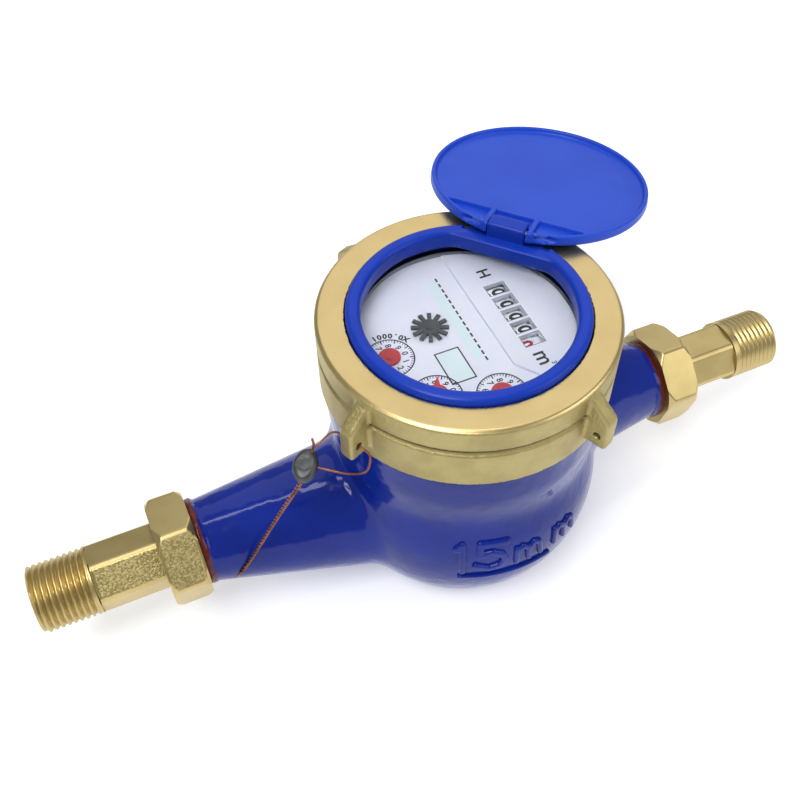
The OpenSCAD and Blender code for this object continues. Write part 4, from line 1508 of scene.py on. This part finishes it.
        insert, rubber = INSERT.material(), RUBBER.material()
        for node in ("chamber_cover", "measuring_chamber", "strainer_basket", "impeller"):
            dress(node, insert)
        dress("glass_gasket", GREY_RUBBER.material())
        dress("body_gasket", rubber)


@dataclass
class LeadSeal:
    """Lead pellet pressed on a copper wire, which is threaded through the front lug and twisted double below.

    Attributes:
        pellet_at: Centre of the pellet.
        pellet_top: A point on its long axis.
        wire_r: Radius of the wire.
        turn_pitch: Length of one turn of the twist.
    """

    pellet_at: tuple[float, float, float] = (-57.0, -18.0, 78.2)
    pellet_top: tuple[float, float, float] = (-54.6, -14.8, 79.2)
    wire_r: float = 0.32
    turn_pitch: float = 3.2

    def lug_point(self, t: float) -> tuple[float, float, float]:
        """Point on the axis of the front lug's hole, t from its middle."""
        a, (out, level, _) = math.radians(LUG_ANGLE), WIRE_HOLE
        return out * math.cos(a) - t * math.sin(a), out * math.sin(a) + t * math.cos(a), level

    def route(self) -> list[tuple[float, float, float]]:
        """The wire from its cut end up to the pellet, round the lug and back to the pellet.

        Returns:
            Points of the centreline.
        """
        return [(-83.5, -4.5, 20.4), (-83.2, -9, 22.8), (-82.4, -12.8, 27.6), (-80, -14.6, 32.6), (-76.7, -15, 38),
                (-70.3, -16.6, 51.4), (-64.6, -19, 64.8), (-59.8, -21.2, 76.2), self.pellet_at, self.pellet_top,
                (-51, -13.6, 80.2), (-47.2, -13.4, 82.4), self.lug_point(-3.4), self.lug_point(0), self.lug_point(3.4),
                (-40.6, -24.2, 81.2), (-42.4, -25.6, 77.2), (-46.8, -24.6, 77.2), (-51, -22, 77.8), (-55, -19.2, 78.4)]

    def twisted(self, path: Array, start: int, end: int, phase: float) -> Array:
        """Winds part of a path round its own line.

        Args:
            path: The centreline.
            start: First wound point.
            end: Last wound point.
            phase: Angle of the strand in the twist, in radians.
        Returns:
            The wound path.
        """
        out = path.copy()
        ahead = np.gradient(path, axis=0)
        along = np.concatenate([[0], np.cumsum(np.linalg.norm(np.diff(path, axis=0), axis=1))])
        for i in range(start, end):
            way = ahead[i] / np.linalg.norm(ahead[i])
            side = np.cross(way, [0.0, 0.0, 1.0])
            side /= np.linalg.norm(side)
            a = phase + 2 * math.pi * along[i] / self.turn_pitch
            ease = min(1.0, (i - start) / 12, (end - i) / 12)
            out[i] += self.wire_r * 1.05 * ease * (math.cos(a) * side + math.sin(a) * np.cross(way, side))
        return out

    def pellet(self, x: Array, y: Array, z: Array) -> Array:
        """Distance field of the pressed pellet.

        Args:
            x, y, z: Coordinates in millimetres.
        Returns:
            Signed distance, negative inside.
        """
        c, t = np.array(self.pellet_at), np.array(self.pellet_top)
        up = (t - c) / np.linalg.norm(t - c)
        level = np.array([up[1], -up[0], 0.0]) / math.hypot(up[0], up[1])
        flat = np.cross(level, up)
        d = np.stack([x - c[0], y - c[1], z - c[2]])
        a, b, h = (np.tensordot(v, d, axes=1) for v in (flat, level, up))
        oval = np.sqrt((b / 3.4) ** 2 + (h / 4.8) ** 2 + (a / 4.4) ** 2) - 1.0
        body = smax(oval * 3.0, np.abs(a) - 2.3 - 0.12 * np.sin(b * 1.7 + 0.6) * np.cos(h * 1.3), 1.2)
        press = np.hypot(b, h) - 1.9
        return smax(body, -smax(press, 2.12 - np.abs(a), 0.5), 0.6)

    def build(self) -> None:
        copper = COPPER.material()
        path = spline(self.route(), 24)[::-1]
        at_pellet = len(path) - 1 - 8 * 24
        cut = len(path) - 1 - int(2.55 * 24)
        fine = spline(path[at_pellet:cut:8], 12)
        whole = np.concatenate([path[:at_pellet], fine, path[cut:]])
        start, end = at_pellet, at_pellet + len(fine)
        first = self.twisted(whole, start + 6, end, 0.0)
        wire = add_piece("seal_wire_long", swept(first, self.wire_r, 10), copper, "meter",
                         ["seal_wire"], 60)
        lead = LEAD.material()
        low = np.array(self.pellet_at) - 5.2
        pellet = add_piece("lead_pellet", skin(self.pellet, low, low + 10.4, 0.22), lead, "meter",
                           ["seal_pellet"], 60)
        second = self.twisted(whole, start + 6, end + 12, math.pi)[start + 2:end - 2]
        short = add_piece("seal_wire_short", swept(second, self.wire_r, 10), copper, "meter", (), 60)
        stub = spline([self.pellet_at, (-54.2, -16.4, 81.6), (-53.7, -16.8, 84.8), (-53.9, -16.8, 87.2)], 8)
        add_piece("seal_wire_stub", swept(stub, self.wire_r * 1.1, 10), copper, "meter", (), 60)
        for strand, line, extra in ((wire, first, [pellet]), (short, second, [])):
            LOG.info("%s is %.1f mm long", strand.name, length_of(line))


def dress(node: str, material: bpy.types.Material) -> None:
    """Gives a solid of the frame its finish.

    Args:
        node: Name of the solid.
        material: Its finish.
    """
    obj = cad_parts[node]
    if obj.material_slots:
        for slot in obj.material_slots:
            slot.material = material
    else:
        obj.data.materials.append(material)


@dataclass(frozen=True)
class Studio:
    """Camera at the photograph's view, pale floor and soft boxes.

    Attributes:
        eye: Place of the camera in millimetres.
        right: Direction of the image's right.
        up: Direction of the image's top.
        lens: Focal length for a 36 mm sensor.
        shift: Shift of the image's centre.
        floor_half: Half the side of the floor in millimetres.
    """

    eye: tuple[float, float, float] = (-94.47, -170.14, 295.12)
    right: tuple[float, float, float] = (0.9134, -0.4071, -0.0027)
    up: tuple[float, float, float] = (0.3171, 0.7072, 0.6319)
    lens: float = 44.325
    shift: tuple[float, float] = (-0.0076, 0.0011)
    floor_half: float = 3000.0

    def camera(self) -> None:
        """Makes the camera."""
        data = bpy.data.cameras.new("camera")
        data.lens, data.sensor_width = self.lens, 36.0
        data.shift_x, data.shift_y = self.shift
        data.clip_start, data.clip_end = 0.01, 20.0
        cam = bpy.data.objects.new("camera", data)
        right = Vector(self.right).normalized()
        back = right.cross(Vector(self.up)).normalized()
        up = back.cross(right)
        turn = Matrix((right, up, back)).transposed().to_4x4()
        cam.matrix_world = Matrix.Translation(Vector(self.eye) * MM) @ turn
        bpy.context.scene.collection.objects.link(cam)
        bpy.context.scene.camera = cam

    @staticmethod
    def soft_box(name: str, place: Sequence[float], size: tuple[float, float], power: float) -> None:
        """Adds one soft oval light that looks at the meter.

        Args:
            name: Name of the light.
            place: Its place in metres.
            size: Its two widths.
            power: Its power in watts.
        """
        data = bpy.data.lights.new(name, "AREA")
        data.shape = "ELLIPSE"
        data.size, data.size_y = size
        data.energy = power
        lamp = bpy.data.objects.new(name, data)
        lamp.location = place
        lamp.rotation_euler = (Vector((0, 0, 0.05)) - Vector(place)).to_track_quat("-Z", "Y").to_euler()
        bpy.context.scene.collection.objects.link(lamp)

    def build(self) -> None:
        """Makes the floor, lights and world."""
        scene = bpy.context.scene
        scene.view_settings.view_transform = "Standard"
        world = bpy.data.worlds.new("studio")
        world.use_nodes = True
        world.node_tree.nodes["Background"].inputs[0].default_value = (0.96, 0.975, 1.0, 1.0)
        world.node_tree.nodes["Background"].inputs[1].default_value = 0.32
        scene.world = world
        self.soft_box("key", (-0.42, -0.28, 0.98), (0.5, 0.5), 6.2)
        self.soft_box("fill", (0.65, -0.55, 0.55), (0.68, 0.68), 2.2)
        self.soft_box("back", (0.42, 0.74, 0.86), (1.35, 1.35), 3.4)
        self.soft_box("overhead", (-0.03, 0.15, 1.15), (0.7, 0.12), 1.5)
        corners = np.array([(-1, -1, 0), (1, -1, 0), (1, 1, 0), (-1, 1, 0)]) * self.floor_half
        mesh = as_mesh("floor", (corners, [[0, 1, 2, 3]]), 30)
        floor = bpy.data.objects.new("floor", mesh)
        g = Graph("pale_floor")
        floor.data.materials.append(g.set(Base_Color=g.mix(g.noise(3.0), (0.86, 0.86, 0.87), (0.88, 0.88, 0.88)),
                                          Roughness=0.7, Emission_Color=(1.0, 1.0, 1.0), Emission_Strength=0.37))
        scene.collection.objects.link(floor)


def main() -> None:
    """Builds the sub-assemblies in order."""
    logging.basicConfig(level=logging.INFO)
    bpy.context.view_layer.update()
    Studio().camera()
    LeadSeal().build()
    Casting().build()
    CoverRing().build()
    DialCover().build()
    brass = FittingBrass().material()
    Coupling(Side.INLET, 42.0, 45.5, (1, 4), (1, 4), 29.4, 0.85).build(brass)
    Coupling(Side.OUTLET, 14.5, 32.4, (0,), (0,), 30.4, 0.5).build(brass)
    Register().build()
    Studio().build()


if __name__ == "__main__":
    main()
